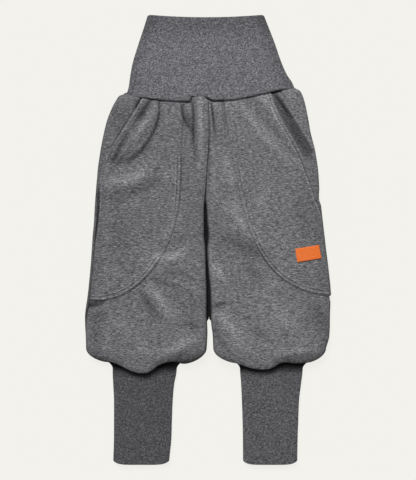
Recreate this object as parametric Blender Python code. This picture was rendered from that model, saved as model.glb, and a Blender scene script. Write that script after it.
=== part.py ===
"""Child's pull-on joggers with roomy legs, laid flat and face up.

The pieces are those that a maker cuts: a front and a back for each leg, a large
pouch pocket on each front, a tall waistband and two long cuffs of doubled rib, and
a small leather label. Left and right are the wearer's.

Frame: X runs across to the wearer's left, Y runs up to the waist, and Z runs up
from the surface that the joggers lie on. The origin is the middle of the outline,
on that surface. Sizes here are in millimetres, and meshes are made in metres.
"""

from collections import namedtuple
from math import comb, cos, radians, sin

import bmesh
import bpy
import numpy as np

MM = 0.001

# Cloth, in millimetres
LEG_CLOTH = 1.8
POCKET_CLOTH = 1.3
RIB_WALL = 2.2
LABEL_LEATHER = 1.2
SEAM_GAP = 0.3

# How a leg's section is rounded
SIDE_Z = 3.2
SIDE_TURN = 4.5
INNER_TURN = 3.2
SIDE_POWER = 3.0
INNER_POWER = 5.0
SEAM_REACH = 1.0
FOOT = 0.5
RIGHT_SEAM_RISE = 7.5
LEFT_SEAM_RISE = 0.0
RISE_TOP = (40.0, 90.0)
RISE_FOOT = (-136.0, -80.0)
MOUTH_FOOT = (52.0, 66.0)
POCKET_FOOT = (-80.0, -72.0)
LOWEST_FACE = 4.4

# How the leg's cloth is gathered into a cuff
FLAT_HANG = 6.0
FLAT_TURN = -90.0
SIDE_HANG_TURN = 70.0
FLAT_DROP = 6.0
HANG_DROP = 11.0
HANG_SHARE = 0.3
HANG_FULLNESS = 0.7

# Waist seam, waistband and cuffs
WAIST_Y = 186.0
FREE_Y = 144.0
WAIST_SAG_Y = 175.0
WAIST_SAG = 0.00112
WAIST_TILT = 0.021
CROTCH_Y = -99.0
LEG_END_Y = -136.3
CUFF_Y = -152.0
HEM_Y = -283.4
HEM_CORNER = 5.0
HEM_REACH = 40.0
BAND_TOP_Y = 280.4
BAND_TOP_CORNER = 3.2
CUFF_CROWN = 6.6
TUBE_POWER = 3.4
TUBE_TURN = 3.6

# Label
LABEL_WIDTH = 30.0
LABEL_HEIGHT = 17.0
LABEL_X = 125.4
LABEL_Y = -17.3
LABEL_ANGLE = radians(9.3)

# Faces
FRONT_COLUMNS = 13
BACK_FLAT_COLUMNS = 3
TURN_COLUMNS = 3
PUFF_ROWS = 6
ARCH_STEPS = 48
TURN_WEIGHT = 9.0
LEG_ROWS = 12
BAND_POINTS = 36
BAND_ROWS = 7
CUFF_POINTS = 22
CUFF_ROWS = 6

# The outline and height of both legs, from the waist seam to where the cloth gathers.
# right, left: x of each side. centre: x of the middle seam. slit: gap between the
# legs there. crown: highest point of a front. dip: height of its inner edge.
Section = namedtuple("Section", "y right left centre slit crown dip")
BODY = [
    Section(186.0, -105.0, 111.0, 0.8, 0.0, 7.4, 6.6),
    Section(181.0, -112.3, 116.8, 0.8, 0.0, 9.0, 7.8),
    Section(174.0, -116.4, 120.3, 0.9, 0.0, 10.6, 9.2),
    Section(164.0, -121.5, 123.5, 0.9, 0.0, 12.0, 10.6),
    Section(150.0, -127.4, 127.0, 1.6, 0.0, 12.8, 11.2),
    Section(136.0, -131.0, 129.4, 1.8, 0.0, 13.4, 11.6),
    Section(113.0, -135.5, 135.1, 1.0, 0.0, 14.0, 11.6),
    Section(83.0, -139.6, 139.5, -1.2, 0.0, 14.3, 11.0),
    Section(62.0, -141.1, 140.7, -2.4, 0.3, 14.4, 9.0),
    Section(51.0, -142.0, 142.0, -3.2, 1.0, 14.4, 6.5),
    Section(41.0, -142.7, 143.0, -3.1, 2.8, 14.5, 4.6),
    Section(20.0, -143.8, 145.4, -2.4, 4.2, 14.6, 4.4),
    Section(6.0, -145.2, 147.0, -1.9, 5.4, 14.8, 4.4),
    Section(-13.0, -146.4, 149.2, -1.8, 1.8, 15.2, 4.4),
    Section(-38.0, -148.3, 152.3, -0.6, 3.2, 15.8, 4.4),
    Section(-68.0, -151.3, 154.9, 1.0, 4.8, 16.6, 4.4),
    Section(-98.0, -154.9, 153.8, 1.3, 5.4, 17.4, 4.4),
    Section(-104.0, -154.8, 153.8, 1.5, 5.0, 17.6, 3.8),
    Section(-121.0, -154.2, 153.0, 2.7, 6.6, 18.2, 3.6),
    Section(-136.3, -153.6, 148.9, 2.6, 8.2, 18.4, 3.6),
]

# Each cuff's sides, from the seam under the gathers to the hem.
CuffSection = namedtuple("CuffSection", "y right_outer right_inner left_inner left_outer")
CUFFS = [
    CuffSection(-152.0, -119.8, -38.6, 39.8, 120.0),
    CuffSection(-167.0, -120.1, -39.6, 40.6, 119.2),
    CuffSection(-182.0, -119.4, -42.5, 41.8, 117.3),
    CuffSection(-204.0, -118.4, -44.4, 42.8, 114.8),
    CuffSection(-227.0, -118.4, -45.3, 43.6, 113.9),
    CuffSection(-250.0, -118.5, -46.0, 44.0, 113.1),
    CuffSection(-283.2, -119.3, -48.8, 44.2, 112.6),
]

# The waistband's sides, from the seam to the fold at the top.
BandSection = namedtuple("BandSection", "y right left crown")
BAND = [
    BandSection(180.0, -104.0, 111.5, 8.3),
    BandSection(194.0, -99.8, 106.0, 8.8),
    BandSection(204.0, -98.4, 99.8, 8.9),
    BandSection(220.0, -95.6, 93.0, 8.8),
    BandSection(250.0, -86.6, 83.0, 8.2),
    BandSection(270.0, -80.0, 75.6, 7.4),
    BandSection(283.2, -76.0, 70.6, 6.6),
]

# How far the gathered cloth hangs over each cuff, across its front from the side to
# the inside of the leg. across: 0 at the side, 1 at the inside.
Puff = namedtuple("Puff", "across right left")
PUFF = [
    Puff(0.00, 13.0, 11.0),
    Puff(0.15, 16.0, 20.0),
    Puff(0.35, 30.0, 22.0),
    Puff(0.50, 26.0, 28.0),
    Puff(0.70, 12.0, 24.0),
    Puff(0.85, 9.0, 17.0),
    Puff(1.00, 14.0, 13.0),
]

# Largest folds of the fronts: soft ridges (rise over 0) and troughs (under 0), each
# from a start by a middle control point to an end.
Fold = namedtuple("Fold", "x0 y0 x1 y1 x2 y2 width rise")
FOLDS = [
    Fold(-63.5, 174.0, -66.0, 112.0, -121.0, 95.0, 5.0, -2.0),
    Fold(-72.0, 172.0, -76.0, 130.0, -112.0, 112.0, 8.0, 1.5),
    Fold(-25.0, 175.0, -25.0, 150.0, -22.0, 128.0, 4.5, -3.0),
    Fold(-18.0, 168.0, -16.0, 130.0, -15.0, 92.0, 4.0, -1.8),
    Fold(-8.5, 176.0, -8.5, 120.0, -8.5, 60.0, 5.0, 1.4),
    Fold(34.0, 161.0, 66.0, 130.0, 93.0, 92.0, 9.0, 1.2),
    Fold(49.0, 170.0, 70.0, 150.0, 100.0, 107.0, 6.0, -1.5),
    Fold(28.0, 44.0, 33.0, 26.0, 47.0, 6.0, 6.0, 1.5),
    Fold(53.0, -6.0, 66.0, -12.0, 78.0, -22.0, 9.0, -1.5),
    Fold(-62.0, -27.0, -48.0, -26.0, -32.0, -19.0, 7.0, 1.5),
    Fold(-60.0, -50.0, -45.0, -52.0, -29.0, -57.0, 11.0, -1.2),
    Fold(-96.0, -66.0, -76.0, -82.0, -58.0, -103.0, 6.0, -1.8),
    Fold(-70.0, -69.0, -56.0, -84.0, -45.0, -97.0, 7.0, 1.4),
    Fold(15.0, -97.0, 28.0, -118.0, 46.0, -136.0, 8.0, 1.4),
]

FOLD_TIP = 0.06
FOLD_FADE = 0.6

# Where each front falls away behind its pocket's mouth.
RIGHT_MOUTH_TROUGH = Fold(-84.5, 180.0, -92.0, 164.0, -104.0, 146.0, 3.6, -5.0)
LEFT_MOUTH_TROUGH = Fold(84.0, 186.0, 104.0, 152.0, 124.0, 114.0, 5.4, -7.5)

# Pattern lines of the pockets, as Bezier curves from the waist down.
RIGHT_MOUTH_LINE = [(-82.9, 177.2), (-126.4, 117.4), (-137.8, 62.8)]
LEFT_MOUTH_LINE = [(81.3, 184.0), (110.6, 123.8), (138.7, 62.8)]
RIGHT_POUCH_LINE = [(-22.6, 176.2), (-38.8, 84.0), (-16.1, -70.1), (-151.1, -74.5)]
LEFT_POUCH_LINE = [(19.0, 176.2), (37.7, 89.6), (34.4, -64.9), (153.8, -70.7)]
LINE_STEPS = 14
MOUTH_RUN_OUT = 3
CUTTER_REACH = 190.0
CUTTER_TOP_Y = 215.0
CUTTER_BOTTOM_Z = -5.0
CUTTER_TOP_Z = 40.0

# One leg: its name, the side of the body it is on, how far the side seam lies up on
# the front, and its own trough behind the pocket's mouth.
Leg = namedtuple("Leg", "name sign seam_rise trough mouth pouch")
RIGHT_LEG = Leg("right", -1, RIGHT_SEAM_RISE, RIGHT_MOUTH_TROUGH, RIGHT_MOUTH_LINE, RIGHT_POUCH_LINE)
LEFT_LEG = Leg("left", 1, LEFT_SEAM_RISE, LEFT_MOUTH_TROUGH, LEFT_MOUTH_LINE, LEFT_POUCH_LINE)

# Finish: name, colour, roughness
SWEAT_CLOTH = ("sweat_cloth", (0.155, 0.155, 0.166, 1.0), 0.95)
RIB_KNIT = ("rib_knit", (0.145, 0.145, 0.158, 1.0), 0.92)
CUFF_KNIT = ("cuff_knit", (0.090, 0.089, 0.098, 1.0), 0.92)
LEATHER = ("label_leather", (0.78, 0.20, 0.045, 1.0), 0.55)


def smooth(rows, column, y):
    """Value of a column at a height y, on a smooth curve that never overshoots the rows."""
    rows = sorted(rows)
    heights = np.array([row[0] for row in rows])
    values = np.array([getattr(row, column) for row in rows])
    steps = np.diff(heights)
    slopes = np.diff(values) / steps
    tangents = np.zeros(len(rows))
    tangents[0] = slopes[0]
    tangents[-1] = slopes[-1]
    for i in range(1, len(rows) - 1):
        before = slopes[i - 1]
        after = slopes[i]
        if before * after > 0:
            tangents[i] = 2 * before * after / (before + after)
    y = np.clip(y, heights[0], heights[-1])
    i = np.clip(np.searchsorted(heights, y, side="right") - 1, 0, len(rows) - 2)
    t = (y - heights[i]) / steps[i]
    start = (1 + 2 * t) * (1 - t) ** 2 * values[i] + t * (1 - t) ** 2 * steps[i] * tangents[i]
    end = t * t * (3 - 2 * t) * values[i + 1] + t * t * (t - 1) * steps[i] * tangents[i + 1]
    return start + end


def ease(low, high, value):
    """0 below low, 1 above high, and a soft step between."""
    t = np.clip((value - low) / (high - low), 0, 1)
    return t * t * (3 - 2 * t)


def bezier(points, t):
    """Points of a Bezier curve of any degree at the parameters t."""
    degree = len(points) - 1
    t = np.asarray(t, dtype=float).reshape(-1, 1)
    total = 0
    for i, point in enumerate(points):
        total = total + comb(degree, i) * t ** i * (1 - t) ** (degree - i) * np.array(point)
    return total


def waist_seam(x, z):
    """Height of the waist seam: it sags to the middle in front and is straight behind."""
    front = WAIST_SAG_Y + WAIST_SAG * x * x + WAIST_TILT * x
    low = WAIST_SAG_Y + WAIST_SAG * BODY[0].right ** 2 + WAIST_TILT * BODY[0].right
    high = WAIST_SAG_Y + WAIST_SAG * BODY[0].left ** 2 + WAIST_TILT * BODY[0].left
    behind = low + (high - low) * (x - BODY[0].right) / (BODY[0].left - BODY[0].right)
    return np.where(z > SIDE_Z, front, behind)


def fold_height(fold, x, y):
    """Rise or fall of the cloth that one fold gives at the points (x, y)."""
    middle = ((fold.x0, fold.y0), (fold.x1, fold.y1), (fold.x2, fold.y2))
    t = np.linspace(0, 1, LINE_STEPS)
    line = bezier(middle, t)
    fade = np.sin(np.pi * np.clip(t, FOLD_TIP, 1 - FOLD_TIP)) ** FOLD_FADE
    distance = np.hypot(x[:, None] - line[:, 0], y[:, None] - line[:, 1])
    return fold.rise * np.max(fade * np.exp(-(distance / fold.width) ** 2), axis=1)


def arch(x0, z0, x1, z1, crown, power0, power1):
    """Points (x, z) of a face that rises from (x0, z0) to its crown and falls to (x1, z1)."""
    quarter = np.linspace(0, np.pi / 2, ARCH_STEPS)
    middle = (x0 + x1) / 2
    rise_x = middle + (x0 - middle) * np.cos(quarter) ** (2 / power0)
    rise_z = z0 + (crown - z0) * np.sin(quarter) ** (2 / power0)
    fall_x = middle + (x1 - middle) * np.cos(quarter) ** (2 / power1)
    fall_z = z1 + (crown - z1) * np.sin(quarter) ** (2 / power1)
    rise = np.column_stack([rise_x, rise_z])
    fall = np.column_stack([fall_x, fall_z])[::-1]
    return np.vstack([rise[:-1], fall])


def turn_up(x, z, reach):
    """Points (x, z) of a rounded edge, from the surface at x + reach up to (x, z)."""
    quarter = np.linspace(0, np.pi / 2, 2 * TURN_COLUMNS + 1)
    return np.column_stack([x + reach * (1 - np.sin(quarter)), z * (1 - np.cos(quarter))])


def spread(line, count, start=0.0, stop=0.0):
    """Evenly spread points of a line, closer where it bends, with its direction there.

    start and stop are the lengths left off at the line's two ends.
    """
    steps = np.diff(line, axis=0)
    lengths = np.hypot(steps[:, 0], steps[:, 1])
    headings = steps / np.maximum(lengths, 1e-9)[:, None]
    turns = np.arccos(np.clip((headings[1:] * headings[:-1]).sum(axis=1), -1, 1))
    along = np.concatenate([[0], np.cumsum(lengths)])
    bends = np.concatenate([[0, 0], np.cumsum(turns)])
    measure = along + TURN_WEIGHT * bends
    first = np.interp(start, along, measure)
    last = np.interp(along[-1] - stop, along, measure)
    wanted = np.linspace(first, last, count)
    points = np.column_stack([np.interp(wanted, measure, line[:, i]) for i in range(2)])
    middles = (along[1:] + along[:-1]) / 2
    places = np.interp(wanted, measure, along)
    directions = np.column_stack([np.interp(places, middles, headings[:, i]) for i in range(2)])
    return points, directions / np.linalg.norm(directions, axis=1)[:, None]


def pocket_step(y):
    """How far the pocket stands out past the left side, so that the outline holds it."""
    step = POCKET_CLOTH + SEAM_GAP
    return step * (1 - ease(*MOUTH_FOOT, y)) * ease(*POCKET_FOOT, y)


def edges(leg, y):
    """x of a leg's side, x of its inner face and x of the middle seam, at a height y."""
    side = smooth(BODY, leg.name, y)
    if leg is LEFT_LEG:
        side = side - pocket_step(y)
    centre = smooth(BODY, "centre", y)
    slit = smooth(BODY, "slit", y)
    inner = centre + leg.sign * max(slit / 2, SEAM_GAP / 2 + 0.5)
    return side, inner, centre + leg.sign * SEAM_GAP / 2


def front_outline(leg, y):
    """Outer face of a leg's front at a height y, from its side over to its inner edge."""
    side, inner, _ = edges(leg, y)
    crown = smooth(BODY, "crown", y)
    dip = smooth(BODY, "dip", y)
    return arch(side, SIDE_Z, inner, dip, crown, SIDE_POWER, INNER_POWER)


def seam_rise(leg, y):
    """Length along the section from the side up to the side seam."""
    return leg.seam_rise * (1 - ease(*RISE_TOP, y)) * ease(*RISE_FOOT, y)


def side_seam(leg, y):
    """Points up the section to the side seam, and the section's direction at the seam."""
    outline = front_outline(leg, y)
    lengths = np.concatenate([[0], np.cumsum(np.hypot(*np.diff(outline, axis=0).T))])
    rise = seam_rise(leg, y)
    places = np.linspace(0, max(rise - SEAM_GAP / 2, 0), TURN_COLUMNS)
    way_up = np.column_stack([np.interp(places, lengths, outline[:, i]) for i in range(2)])
    reach = min(SEAM_REACH, rise)
    ends = np.interp([rise - reach, rise + reach], lengths, outline[:, 0])
    tops = np.interp([rise - reach, rise + reach], lengths, outline[:, 1])
    heading = np.array([ends[1] - ends[0], tops[1] - tops[0]])
    if reach < SEAM_GAP:
        heading = np.array([0.0, 1.0])
    return way_up, heading / np.linalg.norm(heading)


def below_crotch(y):
    """0 above the crotch, where both legs share the middle seam, and 1 below it."""
    return ease(0, 4.0, CROTCH_Y - y)


def front_row(leg, y):
    """Points and directions of a front's row, with a short foot at its inner edge."""
    start = seam_rise(leg, y) + SEAM_GAP / 2
    points, headings = spread(front_outline(leg, y), FRONT_COLUMNS, start)
    _, inner, end = edges(leg, y)
    dip = smooth(BODY, "dip", y)
    below = below_crotch(y)
    foot = (end + (inner - end) * below, dip - FOOT * below)
    points = np.vstack([points, foot])
    inward = np.array([-leg.sign * (1 - below), -below])
    headings = np.vstack([headings, inward / np.linalg.norm(inward)])
    headings[-2] = (headings[-3] + headings[-1]) / np.linalg.norm(headings[-3] + headings[-1])
    headings[0] = side_seam(leg, y)[1]
    return points, headings


def back_row(leg, y):
    """Points and directions of a back's row, from its side under to its inner edge."""
    side, inner, end = edges(leg, y)
    sign = leg.sign
    way_up, heading = side_seam(leg, y)
    turn = turn_up(side, SIDE_Z, -sign * SIDE_TURN)[::-1]
    below_seam = max(SEAM_GAP / 2 - seam_rise(leg, y), 0)
    if below_seam > 0:
        outer_points, outer_headings = spread(turn, TURN_COLUMNS + 2, below_seam)
    else:
        outer_points, outer_headings = spread(np.vstack([way_up[:0:-1], turn]), TURN_COLUMNS + 2)
    outer_headings[0] = -heading
    below = below_crotch(y)
    foot_x = end + (inner - end) * below
    dip = smooth(BODY, "dip", y) - FOOT - SEAM_GAP
    inner_turn = turn_up(foot_x, max(dip * below, 0.0), sign * INNER_TURN)
    inner_points, inner_headings = spread(inner_turn, TURN_COLUMNS + 1)
    upward = np.array([-sign * (1 - below), below])
    inner_headings[-1] = upward / np.linalg.norm(upward)
    share = np.linspace(0, 1, BACK_FLAT_COLUMNS + 1)[1:-1, None]
    flat = outer_points[-1] + (inner_points[0] - outer_points[-1]) * share
    across = np.tile([-sign, 0.0], (len(flat), 1))
    points = np.vstack([outer_points, flat, inner_points])
    return points, np.vstack([outer_headings, across, inner_headings])


def cuff_sides(leg, y):
    """x of a cuff's outer and inner side at a height y."""
    return smooth(CUFFS, leg.name + "_outer", y), smooth(CUFFS, leg.name + "_inner", y)


def cuff_front(leg, y):
    """Front face of a cuff at a height y, from its outer side to its inner side."""
    outer, inner = cuff_sides(leg, y)
    return arch(outer, SIDE_Z, inner, SIDE_Z, CUFF_CROWN, TUBE_POWER, TUBE_POWER)


def cuff_back(leg, y):
    """Back face of a cuff at a height y, from its outer side to its inner side."""
    outer, inner = cuff_sides(leg, y)
    start = turn_up(outer, SIDE_Z, -leg.sign * TUBE_TURN)[::-1]
    return np.vstack([start, turn_up(inner, SIDE_Z, leg.sign * TUBE_TURN)])


def body_heights():
    """Heights of the rows, closest at the waist seam and at the crotch."""
    waist = [WAIST_Y, 182.5, 177.0, 169.0, 158.0]
    leg = np.linspace(FREE_Y, -90.0, LEG_ROWS)
    crotch = [-96.0, -99.5, -103.0, -108.0, -122.0, LEG_END_Y]
    return np.concatenate([waist, leg, crotch])


def panel_rows(leg, row_of):
    """Grid of points of a panel's outer face and of its directions across, down to the gathers."""
    grid = []
    across = []
    for y in body_heights():
        points, headings = row_of(leg, y)
        x = points[:, 0]
        tied = ease(FREE_Y, WAIST_Y, y)
        heights = y + (waist_seam(x, points[:, 1]) - SEAM_GAP / 2 - WAIST_Y) * tied
        grid.append(np.column_stack([x, heights, points[:, 1]]))
        across.append(np.column_stack([headings[:, 0], np.zeros(len(x)), headings[:, 1]]))
    return grid, across


def gather_rows(leg, last, last_across, is_front):
    """Rows that take a panel from its last full row round and in to the cuff's seam.

    The cloth hangs below the seam and turns back up to it. It turns back fully in
    front, and runs straight into the seam where it lies on the surface behind.
    """
    count = len(last)
    share = np.linspace(0, 1, count)
    cuff_line = cuff_front(leg, CUFF_Y) if is_front else cuff_back(leg, CUFF_Y)
    points, headings = spread(cuff_line, count, SEAM_GAP / 2, SEAM_GAP / 2)
    end_across = np.column_stack([headings[:, 0], np.zeros(count), headings[:, 1]])
    facing = leg.sign if is_front else -leg.sign
    normal = np.column_stack([headings[:, 1], np.zeros(count), -headings[:, 0]]) * facing
    if is_front:
        lift = np.ones(count)
        hang = np.array([smooth(PUFF, leg.name, part) for part in share])
    else:
        lift = np.clip(points[:, 1] / SIDE_Z, 0, 1)
        at_side = np.where(share < 0.5, getattr(PUFF[0], leg.name), getattr(PUFF[-1], leg.name))
        hang = FLAT_HANG + (at_side - FLAT_HANG) * lift
    turn = np.radians(FLAT_TURN + (SIDE_HANG_TURN - FLAT_TURN) * lift)
    beyond = SEAM_GAP * (1 - lift ** 3)
    seat = np.column_stack([points[:, 0], CUFF_Y + beyond, points[:, 1]])
    seat = seat + (SEAM_GAP * (np.sqrt(lift) + 4 * lift * (1 - lift)))[:, None] * normal
    up = np.array([0.0, 1.0, 0.0])
    drop = FLAT_DROP + (HANG_DROP - FLAT_DROP + HANG_SHARE * hang) * lift
    first = last - up * drop[:, None]
    second = seat + normal * (hang * np.cos(turn) * HANG_FULLNESS)[:, None]
    second = second - up * (hang * np.sin(turn))[:, None]
    grid = []
    across = []
    for t in np.linspace(0, 1, PUFF_ROWS + 1)[1:]:
        weights = ((1 - t) ** 3, 3 * t * (1 - t) ** 2, 3 * t * t * (1 - t), t ** 3)
        grid.append(sum(w * row for w, row in zip(weights, (last, first, second, seat))))
        blend = (1 - t) * last_across + t * end_across
        across.append(blend / np.linalg.norm(blend, axis=1)[:, None])
    return grid, across


def panel_face(leg, row_of, is_front):
    """Points and unit normals of the outer face of a whole front or back."""
    grid, across = panel_rows(leg, row_of)
    more, more_across = gather_rows(leg, grid[-1], across[-1], is_front)
    grid = np.array(grid + more)
    down = np.gradient(grid, axis=0)
    normals = np.cross(down, np.array(across + more_across)) * (-leg.sign if is_front else leg.sign)
    normals[0, :, 1] = 0.0
    return grid, normals / np.linalg.norm(normals, axis=2)[:, :, None]


def pressed(grid, normals, fold):
    """The grid with one fold pressed into it where the cloth faces up."""
    flat = grid.reshape(-1, 3)
    rise = fold_height(fold, flat[:, 0], flat[:, 1]).reshape(grid.shape[:2])
    rise = rise * np.clip(normals[:, :, 2], 0, 1) ** 2
    room = np.minimum(LOWEST_FACE - grid[:, :, 2], 0)
    rise = np.maximum(rise, room)
    rise[-PUFF_ROWS:] = 0
    return grid + rise[:, :, None] * normals


def material(finish):
    """Principled material of a finish, made once."""
    name, colour, roughness = finish
    made = bpy.data.materials.get(name)
    if made is None:
        made = bpy.data.materials.new(name)
        made.use_nodes = True
        surface = made.node_tree.nodes["Principled BSDF"]
        surface.inputs["Base Color"].default_value = colour
        surface.inputs["Roughness"].default_value = roughness
        surface.inputs["Metallic"].default_value = 0.0
        made.diffuse_color = colour
    return made


def add_mesh(name, points, faces, finish, collection):
    """New object from points in millimetres, with its faces turned outwards."""
    shape = bmesh.new()
    corners = [shape.verts.new(np.asarray(point) * MM) for point in points]
    for face in faces:
        shape.faces.new([corners[i] for i in face])
    bmesh.ops.recalc_face_normals(shape, faces=shape.faces)
    mesh = bpy.data.meshes.new(name)
    shape.to_mesh(mesh)
    shape.free()
    if finish is not None:
        mesh.materials.append(material(finish))
    mesh.shade_smooth()
    mesh.set_sharp_from_angle(angle=radians(40))
    made = bpy.data.objects.new(name, mesh)
    collection.objects.link(made)
    return made


def add_wall(name, outer, inner, finish, collection):
    """Closed wall between two grids of points of the same size."""
    rows, columns = outer.shape[:2]
    size = rows * columns
    points = np.vstack([outer.reshape(-1, 3), inner.reshape(-1, 3)])
    faces = []
    for i in range(rows - 1):
        for j in range(columns - 1):
            a = i * columns + j
            b = a + columns
            for corner in ((a, a + 1, b + 1), (a, b + 1, b)):
                faces.append(corner)
                faces.append(tuple(size + k for k in reversed(corner)))
    rim = [(0, j) for j in range(columns)]
    rim += [(i, columns - 1) for i in range(1, rows)]
    rim += [(rows - 1, j) for j in range(columns - 2, -1, -1)]
    rim += [(i, 0) for i in range(rows - 2, 0, -1)]
    for k, (i, j) in enumerate(rim):
        next_i, next_j = rim[(k + 1) % len(rim)]
        a = i * columns + j
        b = next_i * columns + next_j
        faces.append((b, a, size + a, size + b))
    return add_mesh(name, points, faces, finish, collection)


def add_tube(name, rings, finish, collection):
    """Closed ring-shaped solid through rings of points, the last joined to the first."""
    count = len(rings[0])
    points = np.vstack(rings)
    faces = []
    for k in range(len(rings)):
        here = k * count
        there = (k + 1) % len(rings) * count
        for i in range(count):
            j = (i + 1) % count
            faces.append((here + i, here + j, there + j, there + i))
    return add_mesh(name, points, faces, finish, collection)


def tube_ring(low_x, high_x, crown, count):
    """Closed ring (x, z) of a tube laid flat, and its outward normals."""
    top = arch(low_x, SIDE_Z, high_x, SIDE_Z, crown, TUBE_POWER, TUBE_POWER)
    right = turn_up(high_x, SIDE_Z, -TUBE_TURN)[::-1]
    left = turn_up(low_x, SIDE_Z, TUBE_TURN)
    ring = np.vstack([top, right[1:], left])
    points, headings = spread(ring, count + 1)
    points = points[:-1]
    headings = headings[:-1]
    headings[0] = (0.0, 1.0)
    return points, np.column_stack([-headings[:, 1], headings[:, 0]])


def edge_rise(points, rise, corner):
    """How far a tube's open edge rises from its middle to its corners."""
    low = points.min()
    high = points.max()
    across = (2 * points - low - high) / (high - low)
    return rise * np.abs(across) ** corner


def doubled_tube(name, heights, ring_at, height_at, finish, collection):
    """Tube of doubled rib: up the outside, over the fold and back down the inside.

    heights run from the sewn edge to the fold, ring_at gives a ring and its normals at
    a height, and height_at moves a ring's points to the line that the edge follows.
    """
    past = np.sign(heights[-1] - heights[0]) * RIB_WALL / 2
    stations = [(y, 0.0, 0.0) for y in heights]
    stations += [(heights[-1], 1 - cos(turn), sin(turn)) for turn in (radians(60), radians(120))]
    stations += [(y, 2.0, 0.0) for y in heights[::-1]]
    rings = []
    for y, depth, beyond in stations:
        points, normals = ring_at(y)
        line = height_at(y, points) + past * beyond
        inset = points - normals * depth * RIB_WALL / 2
        rings.append(np.column_stack([inset[:, 0], line, inset[:, 1]]))
    return add_tube(name, rings, finish, collection)


def make_waistband(collection):
    """Tall waistband of doubled rib, folded at the top."""
    heights = np.linspace(WAIST_Y, BAND_TOP_Y, BAND_ROWS)

    def ring_at(y):
        sides = smooth(BAND, "right", y), smooth(BAND, "left", y)
        return tube_ring(*sides, smooth(BAND, "crown", y), BAND_POINTS)

    def height_at(y, points):
        seam = waist_seam(points[:, 0], points[:, 1]) + SEAM_GAP / 2
        top = BAND_TOP_Y - RIB_WALL / 2 + edge_rise(points[:, 0], BAND_TOP_CORNER, 2)
        return seam + (top - seam) * (y - WAIST_Y) / (BAND_TOP_Y - WAIST_Y)

    return doubled_tube("waistband", heights, ring_at, height_at, RIB_KNIT, collection)


def make_cuff(leg, collection):
    """Long cuff of doubled rib, folded at the hem."""
    heights = np.linspace(CUFF_Y, HEM_Y + RIB_WALL / 2, CUFF_ROWS)

    def ring_at(y):
        outer, inner = cuff_sides(leg, y)
        return tube_ring(min(outer, inner), max(outer, inner), CUFF_CROWN, CUFF_POINTS)

    def height_at(y, points):
        return y + edge_rise(points[:, 0], HEM_CORNER, 6) * ease(HEM_REACH, 0, y - HEM_Y)

    return doubled_tube("cuff_" + leg.name, heights, ring_at, height_at, CUFF_KNIT, collection)


def add_cutter(name, outline, collection):
    """Upright prism over a flat outline, hidden from the picture."""
    count = len(outline)
    low = [(x, y, CUTTER_BOTTOM_Z) for x, y in outline]
    high = [(x, y, CUTTER_TOP_Z) for x, y in outline]
    faces = [tuple(range(count)), tuple(range(2 * count - 1, count - 1, -1))]
    for i in range(count):
        j = (i + 1) % count
        faces.append((i, j, count + j, count + i))
    cutter = add_mesh(name, low + high, faces, None, collection)
    cutter.hide_render = True
    cutter.display_type = "WIRE"
    return cutter


def pocket_outline(leg):
    """Outline of a pocket's pattern, run out past the leg's side and the waist."""
    t = np.linspace(0, 1, LINE_STEPS)
    mouth = bezier(leg.mouth, t)
    pouch = bezier(leg.pouch, t)
    away = mouth[0] - mouth[1]
    start = mouth[0] + away * (CUTTER_TOP_Y - mouth[0][1]) / away[1]
    past = mouth[-1] + (mouth[-1] - mouth[-2]) * MOUTH_RUN_OUT
    side = leg.sign * CUTTER_REACH
    corners = [start, *mouth, past, (side, past[1]), (side, pouch[-1][1]), *pouch[::-1]]
    corners.append((pouch[0][0], CUTTER_TOP_Y))
    return [(x, y) for x, y in corners]


def label_outline():
    """Outline of the label, turned as it is sewn."""
    corners = []
    for u, v in ((-0.5, -0.5), (0.5, -0.5), (0.5, 0.5), (-0.5, 0.5)):
        x = u * LABEL_WIDTH
        y = v * LABEL_HEIGHT
        corners.append((LABEL_X + x * cos(LABEL_ANGLE) - y * sin(LABEL_ANGLE),
                        LABEL_Y + x * sin(LABEL_ANGLE) + y * cos(LABEL_ANGLE)))
    return corners


def add_layer(name, grid, normals, lift, wall, outline, finish, collections):
    """Piece cut to an outline from a wall that lies a lift above a panel's points."""
    parts, cutters = collections
    inner = grid + normals * lift
    layer = add_wall(name, inner + normals * wall, inner, finish, parts)
    cutter = add_cutter(name + "_pattern", outline, cutters)
    cut = layer.modifiers.new("pattern", "BOOLEAN")
    cut.operation = "INTERSECT"
    cut.solver = "EXACT"
    cut.object = cutter
    return layer


def make_leg(leg, collections):
    """Front, back, pocket and cuff of one leg."""
    parts, _ = collections
    grid, normals = panel_face(leg, front_row, True)
    for fold in FOLDS:
        grid = pressed(grid, normals, fold)
    face = pressed(grid, normals, leg.trough)
    add_wall("front_" + leg.name, face, face - normals * LEG_CLOTH, SWEAT_CLOTH, parts)
    back, back_normals = panel_face(leg, back_row, False)
    back[:, :, 2] = np.maximum(back[:, :, 2], 0)
    add_wall("back_" + leg.name, back, back - back_normals * LEG_CLOTH, SWEAT_CLOTH, parts)
    rows = int(np.sum(body_heights() > leg.pouch[-1][1])) + 1
    patch = grid[:rows, :-2]
    patch_normals = normals[:rows, :-2]
    add_layer("pocket_" + leg.name, patch, patch_normals, SEAM_GAP, POCKET_CLOTH,
              pocket_outline(leg), SWEAT_CLOTH, collections)
    if leg is LEFT_LEG:
        lift = SEAM_GAP + POCKET_CLOTH + SEAM_GAP
        add_layer("label", patch, patch_normals, lift, LABEL_LEATHER,
                  label_outline(), LEATHER, collections)
    make_cuff(leg, parts)


def main():
    """Clear the scene and make every piece."""
    for old in list(bpy.data.objects):
        bpy.data.objects.remove(old, do_unlink=True)
    parts = bpy.data.collections.new("joggers")
    cutters = bpy.data.collections.new("cutters")
    for collection in (parts, cutters):
        bpy.context.scene.collection.children.link(collection)
    for leg in (RIGHT_LEG, LEFT_LEG):
        make_leg(leg, (parts, cutters))
    make_waistband(parts)


main()
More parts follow.
